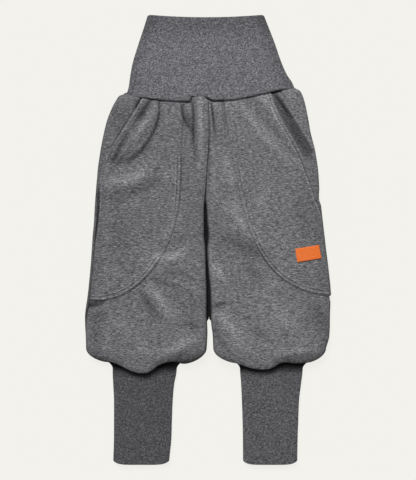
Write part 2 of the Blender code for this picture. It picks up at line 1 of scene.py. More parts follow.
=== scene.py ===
"""Looks of a child's pull-on joggers that lie flat and face up.

Every cloth piece is a thin shell on the form of its solid, with the folds that the
cloth lies in. Left and right are the wearer's. Sizes are in millimetres, and meshes
are made in metres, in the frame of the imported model: X runs to the wearer's left, Y
up to the waist, and Z up from the surface that the joggers lie on.
"""

from __future__ import annotations

import logging
from dataclasses import dataclass
from enum import Enum
from math import comb, cos, radians, sin
from typing import Callable, NamedTuple, Sequence

import bmesh
import bpy
import numpy as np
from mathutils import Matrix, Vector


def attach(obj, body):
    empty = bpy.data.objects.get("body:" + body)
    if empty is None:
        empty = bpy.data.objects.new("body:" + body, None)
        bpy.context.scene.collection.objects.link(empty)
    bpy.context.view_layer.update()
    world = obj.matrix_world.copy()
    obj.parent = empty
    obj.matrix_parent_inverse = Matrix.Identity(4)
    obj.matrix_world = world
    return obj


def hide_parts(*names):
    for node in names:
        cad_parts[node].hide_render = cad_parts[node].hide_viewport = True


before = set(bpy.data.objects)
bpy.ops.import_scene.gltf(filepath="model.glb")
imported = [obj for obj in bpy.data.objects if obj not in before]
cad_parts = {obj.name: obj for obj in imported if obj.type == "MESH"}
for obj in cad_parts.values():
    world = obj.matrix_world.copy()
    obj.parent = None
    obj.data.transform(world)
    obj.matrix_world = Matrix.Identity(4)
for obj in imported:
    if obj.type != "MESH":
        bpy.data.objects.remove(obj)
LOG = logging.getLogger("joggers")

MM = 0.001
PER_METRE = 1000.0

# Cloth
LEG_CLOTH = 1.8
POCKET_CLOTH = 1.3
RIB_WALL = 2.2
LABEL_LEATHER = 1.2
SEAM_GAP = 0.3

# How a leg's section is rounded
SIDE_Z = 3.2
SIDE_TURN = 4.5
INNER_TURN = 3.2
SIDE_POWER = 3.0
INNER_POWER = 5.0
SEAM_REACH = 1.0
FOOT = 0.5
RISE_TOP = (40.0, 90.0)
RISE_FOOT = (-136.0, -80.0)
MOUTH_FOOT = (52.0, 66.0)
POCKET_FOOT = (-80.0, -72.0)
LOWEST_FACE = 4.4
UNDER_POWER = 4

# How a leg's cloth is gathered into its cuff
FLAT_HANG = 6.0
FLAT_TURN = -90.0
SIDE_HANG_TURN = 70.0
FLAT_DROP = 6.0
HANG_DROP = 11.0
HANG_SHARE = 0.3
HANG_FULLNESS = 0.7
GATHER_FADE = 0.6

# Waist seam, waistband and cuffs
WAIST_Y = 186.0
FREE_Y = 144.0
WAIST_SAG_Y = 175.0
WAIST_SAG = 0.00112
WAIST_TILT = 0.021
CROTCH_Y = -99.0
CROTCH_FADE = 4.0
SLIT_LEAST = 0.5
FULL_RISE = 7.5
LEG_END_Y = -136.3
CUFF_Y = -152.0
HEM_Y = -283.4
HEM_CORNER = 4.6
HEM_CORNER_POWER = 6
HEM_REACH = 40.0
BAND_TOP_Y = 280.4
BAND_TOP_CORNER = 3.4
BAND_TOP_POWER = 2
BAND_CORNER_DROP = 2.6
BAND_CORNER_POWER = 50
CUFF_CROWN = 6.6
TUBE_POWER = 3.4
TUBE_TURN = 3.6

# Where a ridge of leg cloth stands up over the waistband's seam
OVERLAP_RISE = 7.0
OVERLAP_START = (-22.6, -20.6)
OVERLAP_END = (-9.0, 9.0)

# How far both edges of the waist seam overlap where it is shut, in gaps
WAIST_OVERLAP = 0.6

# How the cloth rolls in at its seams
EDGE_ROLL = 1.0
EDGE_ROLL_WIDTH = 1.2
WAIST_ROLL = 2.2
WAIST_ROLL_WIDTH = 2.0

# Pocket: its lip, its rows of stitching from each edge and the swell between them
LIP_RADIUS = 1.2
HEM_ROWS = (3.8,)
POUCH_ROWS = (0.7, 5.2)
SWELL = 0.5
SWELL_WIDTH = 1.6
LIP_THINNING = 0.85
STITCH_SINK = 0.25
STITCH_MARGIN = 1.0
POCKET_MARGIN = 6.0

# How the front's cloth lifts outside the pocket's curved seam
SEAM_LIFT = 0.4
SEAM_LIFT_AT = -2.0
SEAM_LIFT_WIDTH = 1.5
FACES_UP = 0.3

# How dark painted shade makes the cloth where it lies in its own shadow, from 0 to 1, and how far
# that reaches
SLIT_SHADE = 0.93
SIDE_SEAM_SHADE = 1.2
SIDE_SHADE_LIMIT = 0.75
BACK_SEAM_SHADE = 0.8
SHADE_WIDTH = 1.5
SLIT_REACH = 8.0
SLIT_TOP = (54.0, 45.0)
SLIT_PAST = 3.0
SLIT_DEPTH = (6.0, 12.5)
BAND_TOP_SHADE = 0.25
BAND_TOP_SPAN = (244.0, 276.0)
BAND_SIDE_SHADE = 0.22
BAND_SIDE_SPAN = (3.0, 20.0)
BAND_SEAM_SHADE = 0.9
BAND_SEAM_WIDTH = 1.2
TURNED_SHADE = 0.75
TURNED = (0.35, 0.85)
CUFF_SHADE = 0.93
CUFF_SHADE_REACH = 4.6
CUFF_SHADE_Y = -158.0
CUFF_SHADE_DEPTH = 9.0
CUFF_END_REACH = 6.0
CUFF_END_POWER = 4
CUFF_FLARE = 9.0
CUFF_FLARE_REACH = 10.5
DEEPEST_SHADE = 0.94
LIGHTEST_SHADE = -0.6

# How many widths a fold reaches, and the share of its length that it fades over
FOLD_REACH = 3.0
FOLD_FADE = 0.4

# Light flecks of yarn are rarer than dark ones by this power
RARER_LIGHT = 1.9

# Width of the groove that a row of stitching presses
ROW_WIDTH = 0.8

# Meshes: how many steps lines take, and rows as their first and last height and their number
ARCH_STEPS = 160
TURN_STEPS = 33
TURN_WEIGHT = 9.0
LINE_STEPS = 40
LINE_RUN_OUT = 12
FOLD_STEPS = 25
SIDE_STEPS = 12
HEM_STEPS = 9
CONTOUR_STEP = 3
CONTOUR_REACH = 4
LEG_ROWS = ((WAIST_Y, 168.0, 22), (167.0, -92.0, 160), (-93.0, LEG_END_Y, 38))
BAND_ROWS = ((WAIST_Y, 190.0, 8), (191.4, BAND_TOP_Y, 62))
BAND_COLUMNS = 260
CUFF_ROWS = (CUFF_Y, HEM_Y + RIB_WALL / 2, 90)
CUFF_COLUMNS = 180
CUT_SHARE = (0.04, 0.96)
SHARP_ANGLE = radians(55)

# Flat sizes of what shows of the tubes, all round, in metres
BAND_CUT = (0.365, 0.100)
CUFF_CUT = (0.150, 0.132)

# What a finish sets on its shader's own sockets
KNIT_SURFACE = {
    "Roughness": 0.95, "Sheen Weight": 0.12, "Sheen Roughness": 0.5, "Specular IOR Level": 0.15,
}
LEATHER_SURFACE = {"Roughness": 0.6, "Specular IOR Level": 0.35}

Array = np.ndarray
Grid = np.ndarray


class Side(Enum):
    """The side of the wearer's body that a piece is on."""

    RIGHT = -1
    LEFT = 1

    @property
    def word(self) -> str:
        """Name of the side, as nodes are named."""
        return self.name.lower()


class Section(NamedTuple):
    """Outline and height of both legs across one height."""

    y: float
    right: float
    left: float
    centre: float
    slit: float
    crown: float
    dip: float


BODY = (
    Section(186.0, -105.0, 111.0, 0.8, 0.0, 7.4, 6.6),
    Section(181.0, -112.3, 116.8, 0.8, 0.0, 9.0, 7.8),
    Section(174.0, -116.4, 120.3, 0.9, 0.0, 10.6, 9.2),
    Section(164.0, -121.5, 123.5, 0.9, 0.0, 12.0, 10.6),
    Section(150.0, -127.4, 127.0, 1.6, 0.0, 12.8, 11.2),
    Section(136.0, -131.0, 129.4, 1.8, 0.0, 13.4, 11.6),
    Section(113.0, -135.5, 135.1, 1.0, 0.0, 14.0, 11.6),
    Section(83.0, -139.6, 139.5, -1.2, 0.0, 14.3, 11.0),
    Section(62.0, -141.1, 140.7, -2.4, 0.3, 14.4, 9.0),
    Section(51.0, -142.0, 142.0, -3.2, 1.0, 14.4, 6.5),
    Section(41.0, -142.7, 143.0, -3.1, 2.8, 14.5, 4.6),
    Section(20.0, -143.8, 145.4, -2.4, 4.2, 14.6, 4.4),
    Section(6.0, -145.2, 147.0, -1.9, 5.4, 14.8, 4.4),
    Section(-13.0, -146.4, 149.2, -1.8, 1.8, 15.2, 4.4),
    Section(-38.0, -148.3, 152.3, -0.6, 3.2, 15.8, 4.4),
    Section(-68.0, -151.3, 154.9, 1.0, 4.8, 16.6, 4.4),
    Section(-98.0, -154.9, 153.8, 1.3, 5.4, 17.4, 4.4),
    Section(-104.0, -154.8, 153.8, 1.5, 5.0, 17.6, 3.8),
    Section(-121.0, -154.2, 153.0, 2.7, 6.6, 18.2, 3.6),
    Section(-136.3, -153.6, 148.9, 2.6, 8.2, 18.4, 3.6),
)


class CuffSection(NamedTuple):
    """Sides of both cuffs at one height."""

    y: float
    right_outer: float
    right_inner: float
    left_inner: float
    left_outer: float


CUFFS = (
    CuffSection(-152.0, -119.8, -38.6, 39.8, 120.0),
    CuffSection(-167.0, -120.1, -39.6, 40.6, 119.2),
    CuffSection(-182.0, -119.4, -42.5, 41.8, 117.3),
    CuffSection(-204.0, -118.4, -44.4, 42.8, 114.8),
    CuffSection(-227.0, -118.4, -45.3, 43.6, 113.9),
    CuffSection(-250.0, -118.5, -46.0, 44.0, 113.1),
    CuffSection(-283.2, -119.3, -48.8, 44.2, 112.6),
)


class BandSection(NamedTuple):
    """Sides and height of the waistband at one height."""

    y: float
    right: float
    left: float
    crown: float


BAND = (
    BandSection(180.0, -104.0, 111.5, 8.3),
    BandSection(194.0, -99.8, 106.0, 8.8),
    BandSection(204.0, -98.4, 99.8, 8.9),
    BandSection(220.0, -95.6, 93.0, 8.8),
    BandSection(250.0, -86.6, 83.0, 8.2),
    BandSection(270.0, -80.0, 75.6, 7.4),
    BandSection(283.2, -76.0, 70.6, 6.6),
)


class Puff(NamedTuple):
    """How far the gathered cloth hangs over each cuff; across is 0 at its side, 1 inside."""

    across: float
    right: float
    left: float


PUFF = (
    Puff(0.00, 8.0, 7.5),
    Puff(0.15, 5.0, 9.0),
    Puff(0.20, 9.0, 9.5),
    Puff(0.28, 18.0, 9.5),
    Puff(0.34, 27.0, 7.5),
    Puff(0.40, 33.0, 9.0),
    Puff(0.47, 36.0, 20.0),
    Puff(0.52, 34.0, 25.0),
    Puff(0.57, 25.0, 26.5),
    Puff(0.62, 15.0, 25.5),
    Puff(0.68, 9.0, 23.0),
    Puff(0.77, 5.0, 15.0),
    Puff(0.85, 7.0, 10.0),
    Puff(1.00, 12.0, 7.5),
)


class Step(NamedTuple):
    """A strength from 0 to 1 at one place along a line."""

    place: float
    strength: float


# How dark the painted shadow along the waist seam is
WAIST_SHADE = (
    Step(-104.0, 0.0), Step(-86.0, 0.0), Step(-82.5, 0.90), Step(-26.0, 0.90), Step(-21.0, 0.30),
    Step(-19.0, 0.0), Step(-6.0, 0.0), Step(-1.0, 0.50), Step(2.0, 0.80), Step(46.0, 0.86),
    Step(60.0, 0.88), Step(90.0, 0.80), Step(108.0, 0.20),
)

# How far the waist seam dips below its even curve, or rises above it if under 0
WAIST_DIP = (
    Step(-120.0, 0.0), Step(-88.0, 2.0), Step(-54.0, 2.3), Step(-35.0, 2.0), Step(-27.0, 1.3),
    Step(-5.0, 0.2), Step(16.0, 0.2), Step(29.0, 1.3), Step(36.0, 1.4), Step(44.0, 0.4),
    Step(56.0, -0.5), Step(71.0, -1.3), Step(86.0, -2.1), Step(93.0, -2.2), Step(101.0, -1.0),
    Step(112.0, 0.0),
)

# How deep the waist seam's edges roll in, which they don't where a ridge covers the seam
WAIST_DEPTH = (
    Step(-88.0, 0.0), Step(-83.0, 1.0), Step(-22.0, 1.0), Step(-19.5, 0.0), Step(-8.0, 0.0),
    Step(-2.0, 0.8), Step(2.0, 1.0), Step(94.0, 1.0), Step(108.0, 0.1),
)


def strength_at(steps: Sequence[Step], places: Array) -> Array:
    """Strength at places, in straight lines between the steps of a table."""
    ordered = sorted(steps)
    return np.interp(places, [s.place for s in ordered], [s.strength for s in ordered])


def smooth(rows: Sequence[tuple], column: str, y: float) -> float:
    """Value of a table's column at a height, on a curve that never overshoots the rows.

    Args:
        rows: Rows of a table, whose first column is their height.
        column: Name of the column that is read.
        y: Height that is asked for.

    Returns:
        The value there.
    """
    ordered = sorted(rows)
    heights = np.array([row[0] for row in ordered])
    values = np.array([getattr(row, column) for row in ordered])
    steps = np.diff(heights)
    slopes = np.diff(values) / steps
    tangents = np.zeros(len(ordered))
    tangents[0] = slopes[0]
    tangents[-1] = slopes[-1]
    for i in range(1, len(ordered) - 1):
        before, after = slopes[i - 1], slopes[i]
        if before * after > 0:
            tangents[i] = 2 * before * after / (before + after)
    y = np.clip(y, heights[0], heights[-1])
    i = np.clip(np.searchsorted(heights, y, side="right") - 1, 0, len(ordered) - 2)
    t = (y - heights[i]) / steps[i]
    start = (1 + 2 * t) * (1 - t) ** 2 * values[i] + t * (1 - t) ** 2 * steps[i] * tangents[i]
    end = t * t * (3 - 2 * t) * values[i + 1] + t * t * (t - 1) * steps[i] * tangents[i + 1]
    return start + end


def ease(low: float, high: float, value: Array | float) -> Array | float:
    """0 below low, 1 above high, and a soft step between."""
    t = np.clip((value - low) / (high - low), 0, 1)
    return t * t * (3 - 2 * t)


def bezier(points: Sequence[Sequence[float]], t: Array) -> Array:
    """Points of a Bezier curve of any degree at the parameters t.

    Args:
        points: Control points.
        t: Parameters from 0 to 1.

    Returns:
        The points, a row for each.
    """
    degree = len(points) - 1
    t = np.asarray(t, dtype=float).reshape(-1, 1)
    total = 0
    for i, point in enumerate(points):
        total = total + comb(degree, i) * t**i * (1 - t) ** (degree - i) * np.array(point)
    return total


def line_distance(line: Array, x: Array, y: Array) -> tuple[Array, Array]:
    """Signed distance of points from a line, and how far along it they are.

    Args:
        line: Points of the line, in order.
        x: x of the points.
        y: y of the points.

    Returns:
        The distance, positive to the left of the line's travel, and the place from 0 to 1.
    """
    points = np.column_stack([x, y])
    nearest = np.full(len(points), np.inf)
    distance = np.zeros(len(points))
    place = np.zeros(len(points))
    for i in range(len(line) - 1):
        step = line[i + 1] - line[i]
        away = points - line[i]
        share = np.clip(away @ step / (step @ step), 0, 1)
        gap = away - share[:, None] * step
        length = np.hypot(gap[:, 0], gap[:, 1])
        closer = length < nearest
        side = np.where(step[0] * away[:, 1] - step[1] * away[:, 0] > 0, 1.0, -1.0)
        nearest = np.where(closer, length, nearest)
        distance = np.where(closer, side * length, distance)
        place = np.where(closer, (i + share) / (len(line) - 1), place)
    return distance, place


@dataclass(frozen=True)
class Fold:
    """A soft ridge (rise over 0) or trough (under 0) along a quadratic curve.

    Its shade is painted shade that darkens the cloth in it, or a painted highlight if under 0.
    """

    x0: float
    y0: float
    x1: float
    y1: float
    x2: float
    y2: float
    left: float
    right: float
    rise: float
    shade: float
    start: float
    end: float
    power: float = 2.0

    def share(self, x: Array, y: Array) -> Array:
        """How far the fold takes hold of the cloth at points.

        Args:
            x: x of the points.
            y: y of the points.

        Returns:
            The share at each point, from 0 to 1.
        """
        corners = ((self.x0, self.y0), (self.x1, self.y1), (self.x2, self.y2))
        line = bezier(corners, np.linspace(0, 1, FOLD_STEPS))
        reach = FOLD_REACH * max(self.left, self.right)
        low = line.min(axis=0) - reach
        high = line.max(axis=0) + reach
        near = np.nonzero((x > low[0]) & (x < high[0]) & (y > low[1]) & (y < high[1]))[0]
        total = np.zeros(len(x))
        if len(near) == 0:
            return total
        distance, place = line_distance(line, x[near], y[near])
        width = np.where(distance > 0, self.left, self.right)
        fade = self.start + (1 - self.start) * ease(0, FOLD_FADE, place)
        fade = fade * (self.end + (1 - self.end) * ease(0, FOLD_FADE, 1 - place))
        total[near] = fade * np.exp(-((np.abs(distance) / width) ** self.power))
        return total


# Folds of each front with their painted shade, or painted highlight where it is under 0; rows that
# don't rise are painted only
RIGHT_FOLDS = (
    Fold(-72.2, 175.0, -80.0, 160.3, -94.9, 141.7, 6.0, 4.0, -3.2, 0.36, 0.9, 0.2),
    Fold(-94.4, 142.2, -104.5, 123.3, -119.6, 99.4, 4.0, 4.0, -2.6, 0.28, 0.2, 0.6),
    Fold(-65.4, 164.9, -78.6, 144.1, -94.4, 120.8, 6.0, 4.0, 3.6, -0.36, 0.3, 0.2),
    Fold(-61.1, 173.7, -56.2, 145.3, -80.5, 114.5, 6.0, 1.8, -3.4, 0.10, 0.9, 0.5),
    Fold(-75.5, 118.3, -85.6, 98.1, -115.8, 93.1, 8.0, 5.0, -3.6, 0.17, 0.4, 0.5),
    Fold(-93.1, 127.1, -105.7, 108.8, -128.4, 77.9, 2.0, 2.0, 1.8, 0.12, 0.5, 0.5),
    Fold(-64.1, 98.1, -91.2, 62.8, -130.9, 72.9, 9.0, 7.0, 4.4, -0.50, 0.2, 0.4),
    Fold(-50.3, 83.0, -65.4, 49.6, -130.9, 54.0, 8.0, 7.0, -2.2, 0.02, 0.1, 0.3),
    Fold(-31.4, 172.0, -34.5, 158.0, -22.6, 138.0, 3.0, 2.6, -2.0, 0.30, 0.5, 0.3),
    Fold(-20.8, 177.5, -13.2, 162.4, -18.8, 122.0, 3.0, 2.4, -3.4, 0.09, 0.9, 0.4),
    Fold(-25.6, 164.0, -27.0, 150.0, -19.5, 130.5, 4.0, 3.8, 0.6, 0.36, 0.2, 0.2),
    Fold(-16.3, 140.9, -14.0, 117.0, -13.7, 77.9, 3.4, 2.2, -3.0, -0.14, 0.5, 0.2),
    Fold(-8.7, 177.5, -10.0, 147.9, -8.7, 80.5, 5.0, 4.0, 2.6, -0.50, 0.8, 0.1),
    Fold(-50.3, 90.5, -47.8, 79.2, -45.2, 62.8, 8.0, 8.0, 1.6, -0.24, 0.1, 0.1),
    Fold(-21.3, -12.8, -52.2, -32.3, -75.5, -19.1, 7.0, 6.0, 4.0, -0.50, 0.2, 0.2),
    Fold(-11.2, 3.6, -33.3, -0.2, -52.8, -9.0, 9.0, 8.0, -1.2, 0.04, 0.2, 0.3),
    Fold(-20.0, -55.6, -40.2, -36.7, -70.4, -53.1, 7.0, 7.0, -3.0, 0.05, 0.2, 0.1),
    Fold(-84.3, -65.7, -75.5, -81.5, -56.6, -109.8, 4.0, 4.0, -4.2, 0.36, 0.3, 0.3),
    Fold(-73.0, -59.4, -56.6, -78.9, -38.2, -114.0, 7.0, 6.0, 4.0, -0.50, 0.2, 0.1),
    Fold(-153.6, -82.7, -141.0, -82.4, -123.4, -78.3, 3.0, 4.0, -2.4, 0.36, 0.5, 0.1),
    Fold(-42.7, -109.8, -21.9, -107.9, -3.7, -118.6, 7.0, 6.0, -2.8, 0.16, 0.1, 0.2),
    Fold(-120.8, -98.5, -108.2, -116.1, -85.6, -133.7, 10.0, 10.0, 2.6, -0.01, 0.1, 0.1),
    Fold(-148.6, -103.5, -144.8, -99.7, -120.8, -90.9, 8.0, 8.0, -2.0, 0.28, 0.3, 0.2),
    Fold(-60.4, -148.9, -35.8, -133.7, -8.7, -123.7, 7.0, 8.0, 3.2, -0.50, 0.2, 0.2),
    Fold(-136.0, 113.2, -148.6, -19.1, -151.1, -75.8, 10.0, 10.0, 0.0, 0.48, 0.5, 0.8),
    Fold(-113.3, 43.9, -106.3, 9.3, -117.1, -38.0, 14.0, 14.0, 0.0, 0.17, 0.1, 0.1),
    Fold(-20.0, 69.1, -21.3, 34.5, -22.6, 2.3, 7.0, 7.0, 0.0, 0.04, 0.2, 0.2),
    Fold(-141.0, -98.5, -138.5, -121.1, -146.0, -138.8, 8.0, 8.0, 0.0, 0.32, 0.3, 0.5),
    Fold(-113.3, -113.6, -85.6, -145.1, -47.8, -141.3, 10.0, 10.0, 0.0, -0.17, 0.2, 0.2),
    Fold(-40.2, -75.8, -21.9, -79.6, -6.2, -83.3, 8.0, 8.0, 0.0, 0.16, 0.2, 0.5),
    Fold(-73.0, -35.5, -83.0, -56.9, -113.3, -63.2, 7.0, 7.0, 0.0, -0.04, 0.2, 0.2),
    Fold(-40.2, 43.9, -40.2, 18.7, -60.4, -6.5, 8.0, 8.0, 0.0, -0.21, 0.2, 0.2),
    Fold(-73.6, 175.6, -83.3, 157.6, -94.4, 143.5, 3.2, 3.6, 0.0, 0.29, 0.9, 0.1),
    Fold(-103.2, 127.1, -110.4, 115.7, -118.9, 99.4, 3.4, 3.8, 0.0, 0.20, 0.2, 0.7),
    Fold(-61.4, 173.7, -58.5, 147.2, -74.2, 125.8, 1.3, 1.5, 0.0, 0.53, 1.0, 0.5),
    Fold(-70.4, 133.4, -78.0, 112.6, -100.7, 99.4, 3.4, 3.0, 0.0, 0.35, 0.3, 0.3),
    Fold(-31.0, 171.0, -36.3, 158.0, -24.0, 141.0, 1.7, 1.7, 0.0, 0.42, 0.8, 0.4),
    Fold(-20.4, 142.0, -16.4, 134.0, -20.5, 112.0, 2.2, 2.2, 0.0, 0.42, 0.3, 0.2),
    Fold(-21.5, 178.7, -16.2, 158.6, -18.3, 138.4, 1.8, 2.2, 0.0, 0.52, 1.0, 0.6),
    Fold(-16.5, 140.9, -14.0, 119.5, -14.4, 83.0, 2.8, 3.0, 0.0, 0.38, 0.4, 0.1),
    Fold(0.6, 172.4, 4.9, 163.0, -1.9, 55.3, 0.9, 0.9, 0.0, 0.61, 0.8, 0.9),
    Fold(-153.6, -82.1, -144.1, -84.4, -132.2, -79.6, 2.0, 2.0, 0.0, 0.32, 0.9, 0.1),
    Fold(-112.0, 110.7, -115.8, 102.5, -119.6, 96.8, 4.0, 4.0, 0.0, 0.39, 0.5, 0.5),
    Fold(-83.0, -26.6, -64.1, -38.6, -30.1, -27.9, 8.0, 8.0, 0.0, -0.36, 0.2, 0.2),
    Fold(-27.6, -16.6, -13.1, -29.2, -6.2, -36.7, 4.0, 4.0, 0.0, -0.15, 0.2, 0.4),
    Fold(-73.0, -46.8, -57.8, -53.1, -22.6, -64.4, 5.0, 5.0, 0.0, 0.37, 0.2, 0.2),
    Fold(-47.8, -73.3, -28.2, -90.9, -16.3, -103.5, 5.0, 5.0, 0.0, 0.06, 0.2, 0.2),
    Fold(-15.0, -121.1, -23.8, -130.0, -47.8, -138.8, 5.0, 5.0, 0.0, 0.15, 0.2, 0.2),
    Fold(-15.0, 113.2, -11.2, 89.3, -12.5, 60.3, 3.0, 3.0, 0.0, -0.05, 0.2, 0.2),
    Fold(-130.9, 55.3, -114.5, 49.0, -93.1, 52.7, 5.0, 5.0, 0.0, 0.28, 0.2, 0.2),
    Fold(-100.7, 80.5, -113.3, 71.6, -125.9, 67.9, 5.0, 5.0, 0.0, 0.05, 0.2, 0.2),
    Fold(-81.0, 177.5, -100.2, 142.2, -118.3, 114.5, 0.9, 0.9, 0.7, -0.28, 0.9, 0.3),
    Fold(-112.0, 184.0, -98.0, 186.0, -86.0, 180.0, 3.0, 3.0, 0.8, -0.26, 0.5, 0.5),
    Fold(-136.8, 77.9, -134.2, 37.2, -142.1, -4.0, 0.9, 1.0, -0.5, 0.62, 0.2, 1.0),
    Fold(-142.1, -4.0, -147.2, -37.8, -148.1, -70.8, 0.9, 1.0, -0.5, 0.62, 1.0, 0.6),
    Fold(-134.4, 77.9, -131.8, 37.2, -139.7, -4.0, 0.9, 0.9, 0.3, -0.25, 0.2, 1.0),
    Fold(-139.7, -4.0, -144.8, -37.8, -145.7, -70.8, 0.9, 0.9, 0.3, -0.25, 1.0, 0.6),
)
LEFT_FOLDS = (
    Fold(5.2, 172.4, 6.4, 146.6, 12.7, 113.2, 1.8, 1.6, -2.6, 0.16, 0.9, 0.2),
    Fold(19.0, 175.0, 20.9, 139.0, 30.4, 100.6, 1.8, 2.4, -2.4, 0.07, 1.0, 0.2),
    Fold(26.6, 176.2, 41.1, 138.4, 53.0, 100.6, 5.0, 5.0, 1.4, -0.10, 0.4, 0.1),
    Fold(37.9, 172.4, 68.2, 129.6, 98.4, 91.8, 9.0, 7.0, 4.6, -0.36, 0.6, 0.3),
    Fold(53.0, 176.2, 71.9, 144.1, 106.0, 104.4, 4.4, 5.0, -3.6, 0.10, 0.6, 0.2),
    Fold(68.2, 180.0, 86.4, 152.9, 102.2, 123.3, 5.5, 5.5, 3.6, -0.32, 0.6, 0.2),
    Fold(16.8, 110.6, 25.6, 83.0, 36.4, 54.3, 8.0, 7.0, 2.0, -0.38, 0.2, 0.2),
    Fold(32.9, 77.9, 39.8, 55.9, 54.3, 36.4, 4.0, 4.0, -3.4, -0.15, 0.1, 0.3),
    Fold(22.8, 51.5, 37.9, 21.2, 58.1, -4.0, 7.0, 6.0, 3.6, -0.50, 0.3, 0.2),
    Fold(10.2, 2.3, 40.4, -4.0, 80.8, -35.5, 10.0, 10.0, -2.8, 0.28, 0.2, 0.2),
    Fold(5.2, -25.4, 8.3, -41.8, 24.1, -63.2, 7.0, 7.0, 3.0, -0.40, 0.2, 0.1),
    Fold(1.4, -85.9, 12.7, -84.0, 29.1, -79.6, 3.4, 6.0, -3.4, 0.38, 0.6, 0.1),
    Fold(6.4, -88.4, 28.5, -108.5, 48.0, -138.8, 8.0, 8.0, 3.6, -0.45, 0.2, 0.3),
    Fold(6.4, -103.5, 8.3, -122.4, 27.8, -146.3, 3.4, 3.4, -2.8, 0.28, 0.1, 0.5),
    Fold(63.1, -65.7, 100.3, -61.9, 119.8, -73.3, 8.0, 8.0, 2.0, 0.20, 0.1, 0.1),
    Fold(73.2, -98.5, 99.7, -95.9, 111.0, -123.7, 9.0, 9.0, 2.6, -0.25, 0.1, 0.1),
    Fold(53.0, -103.5, 61.9, -123.7, 85.8, -133.7, 6.0, 6.0, -2.8, 0.21, 0.1, 0.1),
    Fold(85.8, -146.3, 108.5, -142.6, 131.2, -138.8, 5.0, 9.0, 3.0, -0.17, 0.3, 0.5),
    Fold(121.1, -90.9, 131.2, -105.4, 141.2, -132.5, 8.0, 8.0, -2.0, 0.04, 0.1, 0.1),
    Fold(55.6, 55.3, 77.0, 37.6, 83.3, 9.9, 9.0, 9.0, 2.0, -0.07, 0.1, 0.1),
    Fold(131.2, 94.3, 143.1, 34.5, 147.5, -63.2, 8.0, 8.0, 0.0, 0.09, 0.4, 0.8),
    Fold(113.5, 75.4, 122.3, 32.6, 126.1, -0.2, 12.0, 12.0, 0.0, 0.15, 0.1, 0.1),
    Fold(6.4, 113.2, 8.9, 81.7, 6.4, 50.2, 4.0, 4.0, 0.0, -0.26, 0.3, 0.3),
    Fold(30.4, -40.5, 49.3, -67.0, 58.1, -78.3, 9.0, 9.0, 0.0, 0.15, 0.1, 0.1),
    Fold(78.2, -40.5, 102.2, -55.0, 141.2, -56.9, 6.0, 6.0, 0.0, 0.14, 0.2, 0.6),
    Fold(126.1, -75.8, 143.1, -92.2, 147.5, -123.7, 8.0, 8.0, 0.0, 0.37, 0.2, 0.5),
    Fold(40.4, -22.9, 61.9, -39.2, 68.2, -60.7, 8.0, 8.0, 0.0, 0.31, 0.1, 0.1),
    Fold(68.2, -138.8, 105.3, -146.3, 134.9, -138.8, 7.0, 7.0, 0.0, -0.06, 0.2, 0.4),
    Fold(1.9, 172.4, 5.3, 163.0, 0.1, 55.3, 0.9, 0.9, 0.0, 0.33, 0.8, 0.9),
    Fold(4.4, 171.8, 6.1, 157.3, 8.3, 138.4, 1.1, 1.1, -0.6, 0.66, 0.9, 0.3),
    Fold(24.1, -1.8, 53.0, -12.8, 90.8, -29.1, 12.0, 12.0, 0.0, 0.12, 0.1, 0.1),
    Fold(88.0, 190.0, 100.0, 191.0, 110.0, 186.0, 3.0, 3.0, 0.8, -0.24, 0.3, 0.5),
    Fold(2.4, 172.4, 3.5, 157.3, 5.2, 130.4, 0.8, 0.8, 0.5, -0.60, 0.9, 0.2),
    Fold(20.3, 173.7, 22.1, 153.5, 24.7, 133.4, 0.9, 1.2, 0.0, 0.30, 0.9, 0.2),
    Fold(35.4, 74.2, 42.3, 53.4, 51.8, 40.1, 2.8, 2.8, 0.0, 0.20, 0.1, 0.1),
    Fold(68.2, 176.2, 70.7, 6.1, 73.2, -138.8, 55.0, 55.0, 0.0, -0.10, 1.0, 1.0),
    Fold(7.7, 18.7, 7.7, -7.1, 17.8, -20.3, 5.0, 5.0, 0.0, 0.20, 0.3, 0.2),
    Fold(60.6, -12.8, 77.0, -24.8, 93.4, -49.3, 5.0, 5.0, 0.0, 0.11, 0.2, 0.2),
    Fold(63.1, 85.5, 77.0, 62.8, 75.7, 30.1, 7.0, 7.0, 0.0, -0.10, 0.2, 0.2),
    Fold(68.2, -68.2, 90.8, -77.7, 113.5, -64.4, 5.0, 5.0, 0.0, -0.33, 0.2, 0.2),
    Fold(17.8, 151.0, 21.5, 122.0, 30.4, 98.1, 3.0, 3.0, 0.0, -0.10, 0.4, 0.2),
    Fold(10.2, 161.1, 11.5, 135.9, 17.8, 110.7, 3.0, 3.0, 0.0, 0.06, 0.4, 0.2),
    Fold(113.5, 17.5, 123.6, 1.1, 143.8, -0.2, 6.0, 6.0, 0.0, 0.07, 0.2, 0.4),
    Fold(35.4, 176.2, 46.7, 168.0, 63.1, 172.4, 5.0, 5.0, 0.0, 0.27, 0.4, 0.4),
)
# Folds beside each pocket's mouth, with painted shade in the gap behind it and a painted highlight
# on its edge
RIGHT_HIP_FOLDS = (
    Fold(-83.0, 179.4, -82.8, 180.3, -95.6, 157.3, 2.0, 3.0, -4.0, 0.00, 1.0, 0.1),
    Fold(-83.3, 178.2, -85.9, 174.1, -89.4, 168.4, 2.2, 2.2, 0.0, 0.94, 1.0, 0.6, 4.0),
    Fold(-89.6, 168.4, -107.0, 141.2, -122.3, 115.0, 1.0, 1.2, 0.0, 0.62, 0.9, 0.9),
    Fold(-96.9, 180.0, -113.9, 155.4, -128.4, 123.3, 12.0, 22.0, 0.0, 0.27, 0.5, 0.3, 4.0),
)
